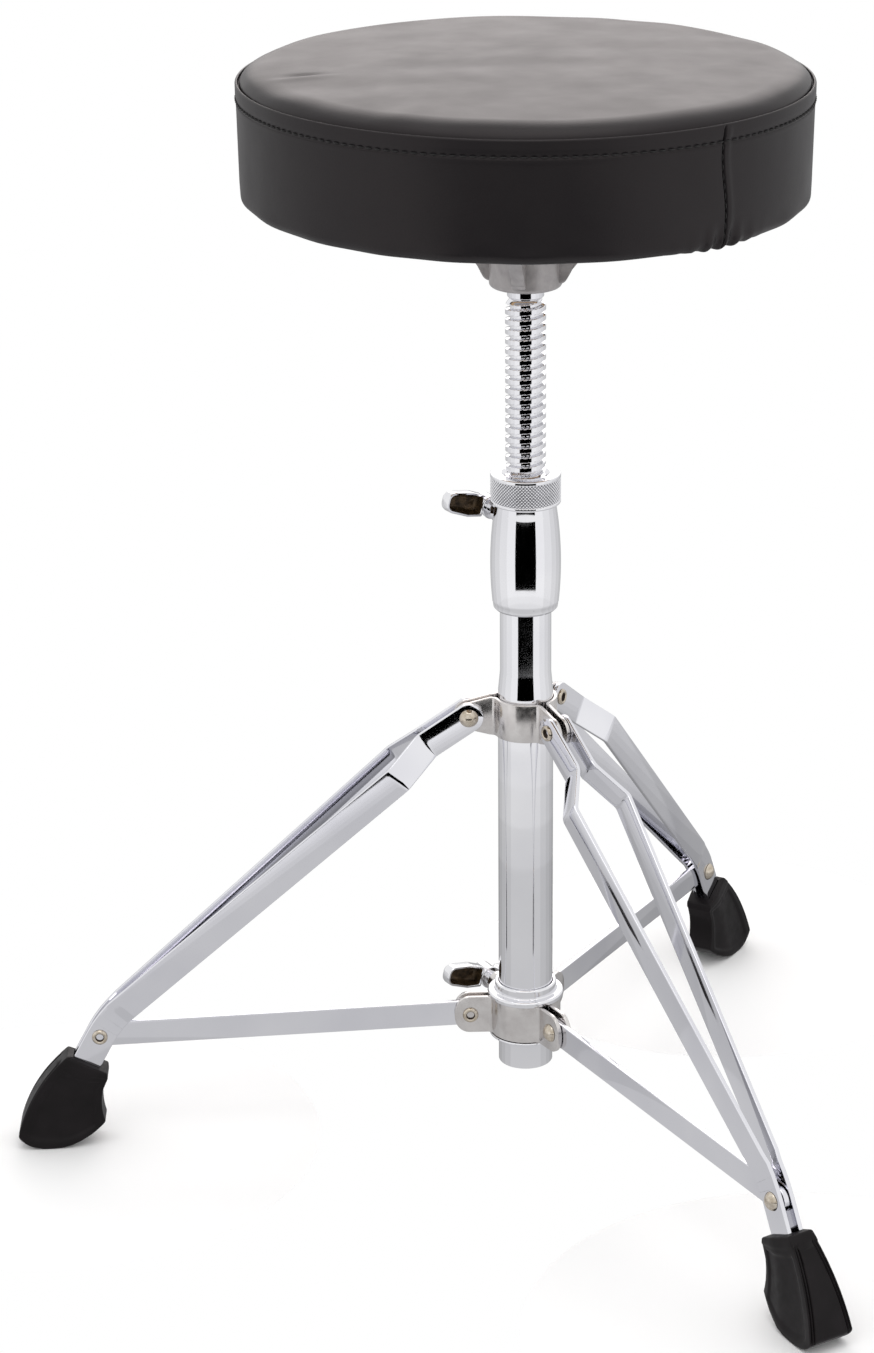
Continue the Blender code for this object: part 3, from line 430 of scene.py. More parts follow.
def swept(centres, wide, thick, half_width, half_thick, corner):
    """A rounded rectangle carried along a path: centre + wide * x + thick * y, where (x, y) goes
    round the section. The width may change along the path; the ends are closed with fans."""
    quarter = np.linspace(0, math.pi / 2, 4)
    angles = np.concatenate([quarter + k * math.pi / 2 for k in range(4)])
    sign_x = np.repeat([1, -1, -1, 1], 4)
    sign_y = np.repeat([1, 1, -1, -1], 4)
    half_width = np.asarray(half_width, float)[:, None]
    bend = np.minimum(corner, half_width * 0.9)
    x = sign_x * (half_width - bend) + bend * np.cos(angles)
    y = sign_y * (half_thick - bend) + bend * np.sin(angles)
    points = centres[:, None] + wide[:, None] * x[..., None] + thick[:, None] * y[..., None]
    rows, columns = x.shape
    ends = np.stack([centres[0], centres[-1]])
    first, last = rows * columns, rows * columns + 1
    c = np.arange(columns)
    near = np.stack([np.full(columns, first), (c + 1) % columns, c], 1)
    far_row = (rows - 1) * columns
    far = np.stack([np.full(columns, last), far_row + c, far_row + (c + 1) % columns], 1)
    return np.concatenate([points.reshape(-1, 3), ends]), [quads(rows, columns), near, far]


def directions(path):
    """Unit tangents of a path of points, from the chords on both sides of each."""
    chords = np.diff(path, axis=0)
    chords /= np.linalg.norm(chords, axis=1)[:, None]
    both = np.concatenate([chords[:1], chords[:-1] + chords[1:], chords[-1:]])
    return both / np.linalg.norm(both, axis=1)[:, None]


def dense(path, step):
    """The same polyline with straight runs split so that no piece is longer than step."""
    runs = np.linalg.norm(np.diff(path, axis=0), axis=1)
    distance = np.concatenate([[0.0], np.cumsum(runs)])
    parts = [np.linspace(a, b, max(1, math.ceil((b - a) / step)), endpoint=False)
             for a, b in zip(distance[:-1], distance[1:])]
    wanted = np.concatenate(parts + [distance[-1:]])
    return np.stack([np.interp(wanted, distance, path[:, k]) for k in range(path.shape[1])], 1)


def tip_spacing(reach, count=12):
    """Distances from a rounded tip, close together where its outline turns fastest."""
    return reach * (1 - np.cos(np.linspace(0, math.pi / 2, count + 1)[1:]))


def pressed_plate(start, pivot_z, ring_inner, sheet, half, ear_lateral, ear_half, reach, slope,
                  squareness):
    """A plate from one leg to the next. Its plan is an ear, a bend, a third of a ring and the
    same mirrored; its half height falls from the ring to the ear, and the ear's end is a
    superellipse, so squareness 2 gives a round end."""
    inside_bend, edge = 0.0035, 0.00045
    ring_r = ring_inner + sheet / 2
    bend = inside_bend + sheet / 2
    centre = np.array([math.sqrt((ring_r + bend) ** 2 - (ear_lateral + bend) ** 2),
                       ear_lateral + bend])
    lean = math.atan2(centre[1], centre[0])
    tip = pivot_r + reach
    along_ear = tip - np.concatenate([[1e-5], tip_spacing(reach)])
    ear = np.column_stack([along_ear, np.full(len(along_ear), ear_lateral)])
    turn = np.linspace(-math.pi / 2, lean - math.pi, 10)[:, None]
    corner = centre + bend * np.hstack([np.cos(turn), np.sin(turn)])
    arc = np.linspace(lean, math.pi / 3, 14)[1:, None]
    ring = ring_r * np.hstack([np.cos(arc), np.sin(arc)])
    plan = np.concatenate([ear, corner, ring])
    flat = np.clip((tip - plan[:, 0]) / reach, 0, 1)
    height = ear_half * (1 - (1 - flat) ** squareness) ** (1 / squareness)
    grown = np.minimum(half, ear_half + np.maximum(0, pivot_r - plan[:, 0]) * slope)
    height = np.where(plan[:, 0] > pivot_r, height, grown)
    mirror = np.array([[math.cos(2 * math.pi / 3), math.sin(2 * math.pi / 3)],
                       [math.sin(2 * math.pi / 3), -math.cos(2 * math.pi / 3)]])
    plan = np.concatenate([plan, plan[-2::-1] @ mirror])
    height = np.concatenate([height, height[-2::-1]])
    way = directions(plan)
    c, s = math.cos(start), math.sin(start)
    spin = np.array([[c, s], [-s, c]])
    plan, way = plan @ spin, way @ spin
    count = len(plan)
    centres = np.column_stack([plan + (axis_x, axis_y), np.full(count, pivot_z)])
    thick = np.column_stack([way[:, 1], -way[:, 0], np.zeros(count)])
    up = np.tile([0.0, 0.0, 1.0], (count, 1))
    return swept(centres, up, thick, height, sheet / 2, edge)


leg_azimuths = [math.radians(a) for a in (-90.0, 30.0, 150.0)]
pivots = {joint["name"]: joint.get("pos_m") for joint in frame["joints"]}
pivot_r = axis_y - pivots["stay_1_fold"][1]
low_pivot_z = pivots["stay_1_fold"][2]
plate_low, plate_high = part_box("top_bracket_plate_1")
top_pivot_z = (plate_low.z + plate_high.z) / 2
top_band = {"ring_inner": 0.0158, "sheet": 0.0020, "half": 0.01115, "ear_lateral": 0.0026,
            "ear_half": 0.0080, "reach": 0.0080, "slope": 0.45, "squareness": 2.0}
for leg, azimuth in enumerate(leg_azimuths, 1):
    plate = pressed_plate(azimuth, top_pivot_z, **top_band)
    make_piece(f"top_bracket_pressing_{leg}", [plate], satin_steel, "stand",
               [f"top_bracket_plate_{leg}"])

# ---------------------------------------------------------------- leg strips
# Each leg is a pair of flat steel bars, 16.5 by 2.5 mm, bent apart below the top rivet and
# together again at the foot, where they turn down into the rubber. Polished and chrome plated.
chrome_strip = finish("chrome_plated_bar", "dcdce2", "e8e8ec", 60.0, (0.04, 0.09), 20.0,
                      Metallic=1.0)
strip_width = 0.0165
strip_sheet = 0.0025
foot_pivot = np.array([axis_y - pivots["leg_1_fold"][1], pivots["leg_1_fold"][2]])
bend_out = np.array([0.0560, 0.2445])
bend_in = np.array([0.0720, 0.2292])
knee_start = np.array([0.2305, 0.0860])
foot_angle = math.radians(-62.0)
foot_way = np.array([math.cos(foot_angle), math.sin(foot_angle)])
strip_end = 0.042
lateral_top, lateral_wide, lateral_foot = 0.0052, 0.0175, 0.00365


def leg_axes(azimuth):
    """A leg's own directions: outwards, across and up."""
    c, s = math.cos(azimuth), math.sin(azimuth)
    return np.array([[c, s, 0.0], [-s, c, 0.0], [0.0, 0.0, 1.0]])


def leg_place(azimuth, points):
    """Leg coordinates (outwards, across, up) to the shared frame."""
    return points @ leg_axes(azimuth) + (axis_x, axis_y, 0.0)


def bar_along(path, half, sheet, azimuth, corner=0.0005):
    """A flat bar whose width stays in the leg's plane, with full round ends: near an end the
    half width is the height of a circle about the rivet, half a width in from the tip."""
    runs = np.linalg.norm(np.diff(path, axis=0), axis=1)
    distance = np.concatenate([[0.0], np.cumsum(runs)])
    tips = tip_spacing(half)
    wanted = np.unique(np.concatenate([
        [1e-5], tips, distance[(distance > half) & (distance < distance[-1] - half)],
        distance[-1] - tips, [distance[-1] - 1e-5],
    ]))
    path = np.stack([np.interp(wanted, distance, path[:, k]) for k in range(3)], 1)
    way = directions(path)
    wide = np.column_stack([-way[:, 2], np.zeros(len(path)), way[:, 0]])
    wide /= np.linalg.norm(wide, axis=1)[:, None]
    thick = np.cross(way, wide)
    from_end = np.minimum(np.minimum(wanted, distance[-1] - wanted), half)
    width = np.sqrt(half ** 2 - (half - from_end) ** 2)
    points, faces = swept(path, wide, thick, width, sheet / 2, corner)
    return leg_place(azimuth, points), faces


def strip_path(side):
    """The middle line of a strip, from its tip past the top rivet to its end in the foot."""
    down = (bend_out - (pivot_r, top_pivot_z)) / math.dist(bend_out, (pivot_r, top_pivot_z))
    tip = np.array([pivot_r, top_pivot_z]) - down * strip_width / 2
    fall = lateral_wide - lateral_foot
    knee = [(*knee_start, lateral_wide - 0.93 * fall)]
    way = math.atan2(*(knee_start - bend_in)[::-1])
    chord = math.dist(knee_start, foot_pivot) / 4
    x, z = knee_start
    for i in range(4):
        a = way + (foot_angle - way) * (i + 0.5) / 4
        x, z = x + chord * math.cos(a), z + chord * math.sin(a)
        knee.append((x, z, lateral_foot))
    end = np.array([x, z]) + foot_way * strip_end
    route = [(*tip, lateral_top), (*bend_out, lateral_top), (*bend_in, lateral_wide), *knee,
             (*end, lateral_foot)]
    corners = [(x, side * lateral, z) for x, z, lateral in route]
    radii = (0, 0.006, 0.006, 0.006, 0.006, 0.006, 0.006, 0.006, 0)
    return dense(rounded(corners, radii, steps=5), 0.02)


for leg, azimuth in enumerate(leg_azimuths, 1):
    for side, which in ((-1.0, "right"), (1.0, "left")):
        make_piece(f"leg_{leg}_{which}_bar",
                   [bar_along(strip_path(side), strip_width / 2, strip_sheet, azimuth)],
                   chrome_strip, f"leg_{leg}", [f"leg_{leg}_{which}_strip"])

# ---------------------------------------------------------------- stays
# One straight flat bar from the sliding collar to each leg, 14.8 by 3 mm with round ends, between
# the leg's two strips. The same polished chrome as the legs.
stay_half = 0.0074
stay_sheet = 0.0030
for leg, azimuth in enumerate(leg_azimuths, 1):
    near = np.array([pivot_r, 0.0, low_pivot_z])
    far = np.array([foot_pivot[0], 0.0, foot_pivot[1]])
    way = (far - near) / np.linalg.norm(far - near)
    path = dense(np.stack([near - way * stay_half, far + way * stay_half]), 0.02)
    make_piece(f"stay_{leg}_bar", [bar_along(path, stay_half, stay_sheet, azimuth)], chrome_strip,
               f"stay_{leg}", [f"stay_{leg}"])

# ---------------------------------------------------------------- rivets
# Semi-tubular steel rivets, 6 mm thick: a domed head on one side, and on the other the hollow
# end rolled over into a ring. Their nickel plate is warmer and duller than the chrome.
nickel = finish("nickel_plated_rivet", "b3a795", "d8cfc2", 2.5, (0.12, 0.24), 1.5, Metallic=1.0)
hollow = finish("unplated_rivet_hollow", "20170f", "3c2d1f", 1.5, (0.45, 0.6), 1.0, Metallic=0.4)


def repaint(piece, material, chosen):
    """Gives a second material to the faces that chosen picks from their middles and normals."""
    count = len(piece.data.polygons)
    middles, normals = np.empty(count * 3), np.empty(count * 3)
    piece.data.polygons.foreach_get("center", middles)
    piece.data.polygons.foreach_get("normal", normals)
    picked = chosen(middles.reshape(-1, 3), normals.reshape(-1, 3))
    piece.data.materials.append(material)
    piece.data.polygons.foreach_set("material_index", picked.astype(np.int32))


rivet_r = 0.0030
dome_r, dome_h = 0.0053, 0.0033
roll_r, roll_h = 0.00455, 0.0014
mouth_r = 0.0021
hollow_r = 0.0024


def dome_end(base):
    """Head profile, crown to shank: an arc of a circle over the rim, then the flat below it."""
    ball = (dome_r ** 2 + dome_h ** 2) / (2 * dome_h)
    a = np.linspace(0, math.asin(dome_r / ball), 10)
    arc = np.column_stack([ball * np.sin(a), base + dome_h + ball * (np.cos(a) - 1)])
    return np.concatenate([arc, [(dome_r, base), (rivet_r, base)]])


def rolled_end(base):
    """Rolled end, shank to centre: half a round over the washer face, then down the hollow."""
    middle, half = (roll_r + mouth_r) / 2, (roll_r - mouth_r) / 2
    a = np.linspace(0, math.pi, 12)
    roll = np.column_stack([middle + half * np.cos(a), base + roll_h * np.sin(a)])
    return np.concatenate([[(rivet_r, base), (roll_r, base)], roll,
                           [(0.0020, base - 0.0018), (0.0, base - 0.0024)]])


def rivet_shell(parts, spot, azimuth, dome_side):
    """Turns a rivet's profile and lays it across the leg, its dome towards dome_side."""
    points, faces = lathe(np.concatenate(parts), 32, closed=False)
    laid = points[:, [1, 2, 0]] * (1.0, dome_side, 1.0)
    return leg_place(azimuth, laid + (spot[0], 0.0, spot[1])), faces


def make_rivet(name, profile, spot, azimuth, dome_side, body, replaced, rolled=0):
    """A rivet piece. Where rolled is 1 the end away from dome_side is rolled, where it is -1 the
    end at dome_side is, and the hollow of that end is left unplated."""
    piece = make_piece(name, [rivet_shell(profile, spot, azimuth, dome_side)], nickel, body,
                       [replaced])
    out, across, _ = leg_axes(azimuth)

    def in_hollow(middles, normals):
        """Faces near the axis, away from the dome and turned away from it or sideways."""
        local = middles - (axis_x, axis_y, 0.0)
        off_axis = np.hypot(local @ out - spot[0], local[:, 2] - spot[1])
        away = -dome_side * np.sign(rolled)
        inside = (off_axis < hollow_r) & (local @ across * away > 0.001)
        return inside & (normals @ across * away > -0.2)

    if rolled:
        repaint(piece, hollow, in_hollow)


clearance = 0.0002
strip_face = lateral_foot + strip_sheet / 2 + clearance
low_band = {"ring_inner": 0.0178, "sheet": 0.0024, "half": 0.0112, "ear_lateral": 0.0032,
            "ear_half": 0.0112, "reach": 0.0092, "slope": 0.0, "squareness": 2.2}
ear_face = low_band["ear_lateral"] + low_band["sheet"] / 2 + clearance
top_face = lateral_top + strip_sheet / 2 + clearance
top_inside = lateral_top - strip_sheet / 2
flipped = (1.0, -1.0)
for leg, azimuth in enumerate(leg_azimuths, 1):
    low_spot, top_spot = (pivot_r, low_pivot_z), (pivot_r, top_pivot_z)
    core = [(rivet_r, top_inside), (0.0, top_inside)]
    make_rivet(f"foot_rivet_{leg}_pin", [dome_end(strip_face), rolled_end(strip_face) * flipped],
               foot_pivot, azimuth, -1.0, f"leg_{leg}", f"foot_rivet_{leg}", 1)
    make_rivet(f"stay_rivet_{leg}_pin", [dome_end(ear_face), rolled_end(ear_face) * flipped],
               low_spot, azimuth, -1.0, "collar", f"stay_rivet_{leg}", 1)
    make_rivet(f"top_rivet_{leg}_dome", [dome_end(top_face), core], top_spot, azimuth, 1.0,
               f"leg_{leg}", f"top_rivet_{leg}_head")
    make_rivet(f"top_rivet_{leg}_roll", [rolled_end(top_face)[::-1], core], top_spot, azimuth,
               -1.0, f"leg_{leg}", f"top_rivet_{leg}_tail", -1)

# ---------------------------------------------------------------- rubber feet
# Injection-moulded black rubber boots pushed over the ends of the strips. Each has a wide toe, a
# narrow heel, side panels set in from a rim, a raised collar round the socket and a rocker sole.
# Spark-eroded mould texture, 0.15 mm in reality, drawn at 0.5 mm.
rubber = finish("moulded_black_rubber", "0f0c0d", "171315", 14.0, (0.36, 0.50), 5.0,
                (0.5, 0.03, 0.25), Specular_IOR_Level=0.16)

foot_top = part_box("rubber_foot_1")[1].z
toe_r, toe_z = axis_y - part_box("rubber_foot_1")[0].y, 0.0085
heel_half = 0.0082
toe_half = (0.0078, 0.0147)
waist_half = (0.0092, 0.0132)
waist_share = 0.4
sole_r = 0.275


def arc_through(start, middle, end, count):
    """Points of the circular arc from start to end through middle. The centre is where the two
    chords' perpendicular bisectors meet."""
    start, middle, end = (np.array(p, float) for p in (start, middle, end))
    sides = np.stack([middle - start, end - middle])
    halfway = [sides[0] @ (start + middle) / 2, sides[1] @ (middle + end) / 2]
    centre = np.linalg.solve(sides, halfway)
    first, last = (math.atan2(*(p - centre)[::-1]) for p in (start, end))
    last = first + (last - first + math.pi) % (2 * math.pi) - math.pi
    a = np.linspace(first, last, count)
    return centre + math.dist(start, centre) * np.column_stack([np.cos(a), np.sin(a)])


def by_share(points, shares):
    """Points along a polyline at shares of its length."""
    runs = np.linalg.norm(np.diff(points, axis=0), axis=1)
    length = np.concatenate([[0.0], np.cumsum(runs)]) / runs.sum()
    return np.stack([np.interp(shares, length, points[:, k]) for k in (0, 1)], -1)


toe_line = arc_through((0.2645, foot_top), (0.2846, 0.0320), (toe_r, toe_z), 40)
heel_line = np.concatenate([
    [(0.2420, 0.0455), (0.2418, 0.0415)],
    arc_through((0.2448, 0.0345), (0.2457, 0.0255), (0.2440, 0.0140), 20)])
sole_line = np.concatenate([
    arc_through((0.2440, 0.0140), (0.2555, 0.0052), (sole_r - 0.004, 0.0), 14),
    arc_through((sole_r + 0.004, 0.0), (0.2885, 0.0026), (toe_r, toe_z), 10)])


def foot_point(s, t):
    """Coons patch: s runs from heel to toe and t from crown to sole. The two rulings are added
    and the bilinear patch through the four corners is taken off."""
    heel, toe = by_share(heel_line, t), by_share(toe_line, t)
    crown = (1 - s)[..., None] * heel_line[0] + s[..., None] * toe_line[0]
    sole = by_share(sole_line, s)
    s, t = s[..., None], t[..., None]
    flat = (1 - s) * heel_line[-1] + s * toe_line[-1]
    return (1 - s) * heel + s * toe + (1 - t) * crown + t * sole - ((1 - t) * crown + t * flat)


def foot_half(s, t):
    """Half width: linear from heel to waist and from waist to toe, each growing downwards."""
    waist = waist_half[0] + t * (waist_half[1] - waist_half[0])
    toe = toe_half[0] + t * (toe_half[1] - toe_half[0])
    back = heel_half + (waist - heel_half) * s / waist_share
    front = waist + (toe - waist) * (s - waist_share) / (1 - waist_share)
    return np.where(s < waist_share, back, front)


def smooth_step(value, low, high):
    """0 below low, 1 above high and a smooth cubic between."""
    x = np.clip((value - low) / (high - low), 0, 1)
    return x * x * (3 - 2 * x)


def foot_loop(t, inset, width=0.045):
    """One closed row round the boot at a share t of its height, drawn in by inset. The toe's face
    has extra points near its corners, for the beads there."""
    shares = np.array([0.0, 0.05, 0.09, 0.11, 0.13, 0.15, 0.2, 0.3, 0.4, 0.5, 0.6, 0.7, 0.8, 0.85,
                       0.87, 0.89, 0.91, 0.95, 1.0])
    s = inset / width + shares * (1 - 2 * inset / width)
    half = foot_half(s, t) - inset
    across = np.linspace(0.0043, 0.0011, 9)
    toe = np.concatenate([half[-1] - across[::-1], across - half[-1]])
    toe = np.column_stack([np.full(len(toe), s[-1] * width), toe])
    corners = np.concatenate([np.column_stack([s * width, half]), toe,
                              np.column_stack([s * width, -half])[::-1]])
    radii = np.zeros(len(corners))
    radii[[0, len(s) - 1, len(s) + len(toe), len(corners) - 1]] = 0.0009
    loop = rounded(corners, radii, True, 4)
    return loop[:, 0] / width, loop[:, 1]


def foot_shell(azimuth):
    """Rows down the socket, over the crown, down the sides and in under the sole."""
    socket_half = lateral_foot + strip_sheet / 2 + 0.0003
    edge = 0.0012
    height = 0.050
    bend = np.linspace(0, math.pi / 2, 5)
    rows = [(edge * (1 - math.sin(a)) / height, edge * (1 - math.cos(a))) for a in bend[::-1]]
    rows += [(t, 0.0) for t in np.linspace(0.05, 0.95, 46)]
    rows += [(1 - edge * (1 - math.sin(a)) / height, edge * (1 - math.cos(a))) for a in bend]
    s_rows, w_rows, t_rows = [], [], []
    for t, inset in rows:
        s, w = foot_loop(t, inset)
        s_rows.append(s)
        w_rows.append(w)
        t_rows.append(np.full(len(s), t))
    for share in (0.7, 0.4, 0.0):
        s_rows.append(s)
        w_rows.append(w * share)
        t_rows.append(np.ones(len(s)))
    s, w, t = np.stack(s_rows), np.stack(w_rows), np.stack(t_rows)
    # The side panel is set in 0.9 mm inside a rim; two grooves leave a bead down each toe corner;
    # the crown's collar stands 0.6 mm proud of the sides below it.
    panel = (smooth_step(s, 0.10, 0.14) * smooth_step(-s, -0.90, -0.86)
             * smooth_step(t, 0.17, 0.21) * smooth_step(-t, -0.93, -0.88))
    on_side = np.abs(w) > 0.6 * foot_half(s, t)
    collar = smooth_step(t, 0.10, 0.13)
    w = w - np.sign(w) * on_side * (0.0009 * panel + 0.0006 * collar)
    below = smooth_step(t, 0.08, 0.12) * (s > 0.5)
    beads = sum(np.exp(-((foot_half(s, t) - np.abs(w) - spot) / 0.0004) ** 2)
                for spot in (0.0020, 0.0036))
    s = s - 0.030 * below * beads * (s > 0.97)
    flat = foot_point(s, t)
    points = np.stack([flat[..., 0], w, flat[..., 1]], -1)
    # The socket: the crown's row drawn in to the strips' outline, then carried down inside.
    socket_from_rivet = 0.0184
    middle = foot_pivot + foot_way * socket_from_rivet
    wide = np.array([-foot_way[1], foot_way[0]])
    reach = (s[0] - 0.5) * 2 * (strip_width / 2 + 0.0003)
    mouth = np.clip(w[0] / np.abs(w[0]).max() * 3, -1, 1) * socket_half
    inner = []
    for depth in (-0.0004, 0.0006, 0.010):
        spot = middle + foot_way * depth
        inner.append(np.stack([spot[0] + wide[0] * reach, mouth, spot[1] + wide[1] * reach], -1))
    floor_row = np.broadcast_to([spot[0], 0.0, spot[1]], inner[0].shape)
    points = np.concatenate([np.stack([floor_row, inner[2], inner[1], inner[0]]), points])
    points, faces = skin(points)
    return leg_place(azimuth, points), faces


for leg, azimuth in enumerate(leg_azimuths, 1):
    make_piece(f"rubber_boot_{leg}", [foot_shell(azimuth)], rubber, f"leg_{leg}",
               [f"rubber_foot_{leg}"], crease=50.0)

# ---------------------------------------------------------------- sliding collar
# A turned, chromed sleeve with a flange, held to the three lower plates by a rolled ring under
# them. The plates are the same satin pressings as above, one with the clamp screw's boss.
flange_z, lip_z = 0.0875, 0.0910
collar_low, collar_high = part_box("leg_collar")
bore_r = tube_r + 0.0003
body_r = 0.0175
collar_corners = [
    (bore_r, collar_low.z), (body_r, collar_low.z), (body_r, flange_z), (0.0219, flange_z),
    (0.0219, lip_z), (0.0178, lip_z + 0.0004), (0.0178, collar_high.z), (bore_r, collar_high.z),
]
collar_radii = (0.0003, 0.0004, 0.0002, 0.0012, 0.0014, 0.0008, 0.0012, 0.0004)
make_piece("leg_collar_sleeve", [at_post(lathe(rounded(collar_corners, collar_radii, True), 128))],
           chrome_tube, "collar", ["leg_collar"])
ring_low, ring_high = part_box("collar_retaining_ring")
ring_corners = [(0.0178, ring_low.z), (0.0209, (ring_low.z + ring_high.z) / 2 + 0.0003),
                (0.0206, ring_high.z), (0.0178, ring_high.z)]
ring_section = rounded(ring_corners, (0.0003, 0.0005, 0.0003, 0.0003), True)
make_piece("collar_rolled_ring", [at_post(lathe(ring_section, 128))], chrome_tube, "collar",
           ["collar_retaining_ring"])
leg_shoe_low, leg_shoe_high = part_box("leg_clamp_shoe")
leg_screw_z = (leg_shoe_low.z + leg_shoe_high.z) / 2
for leg, azimuth in enumerate(leg_azimuths, 1):
    shells = [pressed_plate(azimuth, low_pivot_z, **low_band)]
    if leg == 2:
        boss = lathe(ring_profile(boss_bore, 0.0070, 0.0190, 0.0307, 0.0006), 48)
        shells.append(along(boss, (axis_x, axis_y, leg_screw_z), (0, 1, 0), (1, 0, 0)))
    make_piece(f"lower_bracket_pressing_{leg}", shells, satin_steel, "collar",
               [f"lower_bracket_plate_{leg}"])

# ---------------------------------------------------------------- wing screws and shoes
# Zinc die castings with two hollow wings on a round hub, bright chromed outside and left dull in
# the pockets that face the post. Each pushes a turned brass shoe against what it clamps.
wing_chrome = finish("chromed_die_casting", "dfdfe2", "ececee", 25.0, (0.05, 0.12), 8.0,
                     (4.0, 0.03, 0.15), Metallic=1.0)
raw_pocket = finish("raw_cast_pocket", "2a2015", "5c4a33", 3.5, (0.28, 0.44), 2.0,
                    (0.9, 0.05, 0.3), Metallic=0.55)
wing_hub_length = 0.0135
wing_tip_r = 0.0058
wing_half = 0.0070
wing_tilt = math.radians(15.0)


def wing_loop(side, inset):
    """A wing's outline: a blunt root, a little wider further out, and a round tip."""
    reach = 0.0295 - inset
    corners = [
        (0.0052 + inset, -0.0060 + inset), (0.0145, -wing_half + inset),
        (reach, -wing_tip_r + inset + 0.0004), (reach, wing_tip_r - inset - 0.0004),
        (0.0145, wing_half - inset), (0.0052 + inset, 0.0060 - inset),
    ]
    tip = max(0.0004, wing_tip_r - inset - 0.0011)
    root = 0.0008
    loop = rounded(corners, (root, 0.004, tip, tip, 0.004, root), True, 7)
    return loop * (side, 1.0)


def wing_shell(side, hub_y, screw_z):
    """Rows of outlines, each drawn in by an inset at a depth: a cup, open towards the post."""
    middle = wing_loop(side, 0.0040).mean(0)
    rows = []
    for inset, depth in wing_cup:
        loop = wing_loop(side, inset) if inset < 1 else 0 * wing_loop(side, 0.0) + middle
        rows.append(np.column_stack([loop, np.full(len(loop), depth)]))
    flat = np.stack(rows)
    c, s = math.cos(wing_tilt), math.sin(wing_tilt)
    x = axis_x + c * flat[..., 0] + s * flat[..., 1]
    z = screw_z - s * flat[..., 0] + c * flat[..., 1]
    return skin(np.stack([x, axis_y + hub_y + flat[..., 2], z], -1))


# From the cup's closed back, round its edge, over its lip and down to the pocket's floor; an
# inset of 1 stands for the wing's middle point.
wing_back, back_edge = 0.0090, 0.0022
quarter_turn = np.linspace(0, math.pi / 2, 5)
wing_cup = [(1.0, wing_back), (0.0040, wing_back),
            *[(back_edge * (1 - math.sin(a)), wing_back - back_edge * (1 - math.cos(a)))
              for a in quarter_turn],
            (0.0, 0.0030), (0.0, 0.0014), (0.0003, 0.0010), (0.0011, 0.0010), (0.0014, 0.0014),
            (0.0018, 0.0035), (0.0024, 0.0062), (0.0036, 0.0072), (1.0, 0.0072)]


def hub_profile(tip, hub):
    """Shank, a collar ring, the round hub and its domed end, from the tip to the far side."""
    end = hub + wing_hub_length
    corners = [(0.0, tip), (0.0040, tip), (0.0040, hub), (0.0068, hub), (0.0064, hub + 0.0030),
               (0.0060, hub + 0.0040), (0.0063, hub + 0.0115), (0.0050, end), (0.0, end)]
    return rounded(corners, (0, 0.0006, 0.0003, 0.0006, 0.0008, 0.0006, 0.0014, 0.0012, 0))


for which, screw_z, body in (("height", height_screw_z, "height_screw"),
                             ("leg", leg_screw_z, "leg_screw")):
    low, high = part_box(f"{which}_wing_screw")
    tip_y, hub_y = low.y - axis_y, high.y - axis_y - wing_hub_length
    shells = [along(lathe(hub_profile(tip_y, hub_y), 64, closed=False), (axis_x, axis_y, screw_z),
                    (0, 1, 0), (1, 0, 0))]
    for side in (-1.0, 1.0):
        shells.append(wing_shell(side, hub_y, screw_z))
    screw = make_piece(f"{which}_wing_screw_casting", shells, wing_chrome, body,
                       [f"{which}_wing_screw"])
    # Faces between the rim and the pocket's floor that look back at the wing's own middle, and
    # the floor itself, are left unplated.

    def in_pocket(middles, normals):
        """Faces of either cup's inside, found in the wing's own tilted axes."""
        local = middles - (axis_x, axis_y + hub_y, screw_z)
        c, s = math.cos(wing_tilt), math.sin(wing_tilt)
        across = c * local[:, 0] - s * local[:, 2]
        upright = s * local[:, 0] + c * local[:, 2]
        face_across = c * normals[:, 0] - s * normals[:, 2]
        face_upright = s * normals[:, 0] + c * normals[:, 2]
        wing_middle, lip, floor, root = 0.0175, 0.0014, 0.0074, 0.0066
        from_middle = across - np.sign(across) * wing_middle
        inward = face_across * from_middle + face_upright * upright < 0
        deep = (local[:, 1] > lip) & (local[:, 1] < floor) & (np.abs(across) > root)
        return deep & (inward | (normals[:, 1] < -0.5))

    repaint(screw, raw_pocket, in_pocket)

brass = finish("turned_brass", "b08d4f", "cfae6c", 4.0, (0.22, 0.34), 1.0, (0.3, 0.01, 0.2),
               Metallic=1.0)
give_finish(brass, "height_clamp_shoe", "leg_clamp_shoe")

# ---------------------------------------------------------------- threaded post
# A steel post with a coarse rolled thread of 5.5 mm pitch and a plain neck under the seat's hub,
# chrome plated. A spring-steel circlip near its top keeps the seat on.
thread_pitch = 0.0055
root_r = 0.00865
neck_radius = 0.0100
post_low, post_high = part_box("threaded_post")
thread_start = post_low.z + 0.0025
thread_turns = 37
thread_end = thread_start + thread_pitch * thread_turns
hub_z = 0.5075


def thread_radius(angle, height):
    """Radius on a helix: the phase climbs one pitch per turn, and the profile over a phase is a
    flat crest, a flank, a flat root and a flank, blended into the plain ends."""
    phase = ((height - thread_start) / thread_pitch - angle / (2 * math.pi)) % 1.0
    down = smooth_step(phase, 0.50, 0.60)
    up = smooth_step(phase, 0.90, 1.0)
    share = 1 - down + up
    ends = smooth_step(height, thread_start + 0.001, thread_start + 0.006)
    ends = ends * (1 - smooth_step(height, thread_end - 0.0045, thread_end + 0.0005))
    return root_r + (post_r - root_r) * share * ends


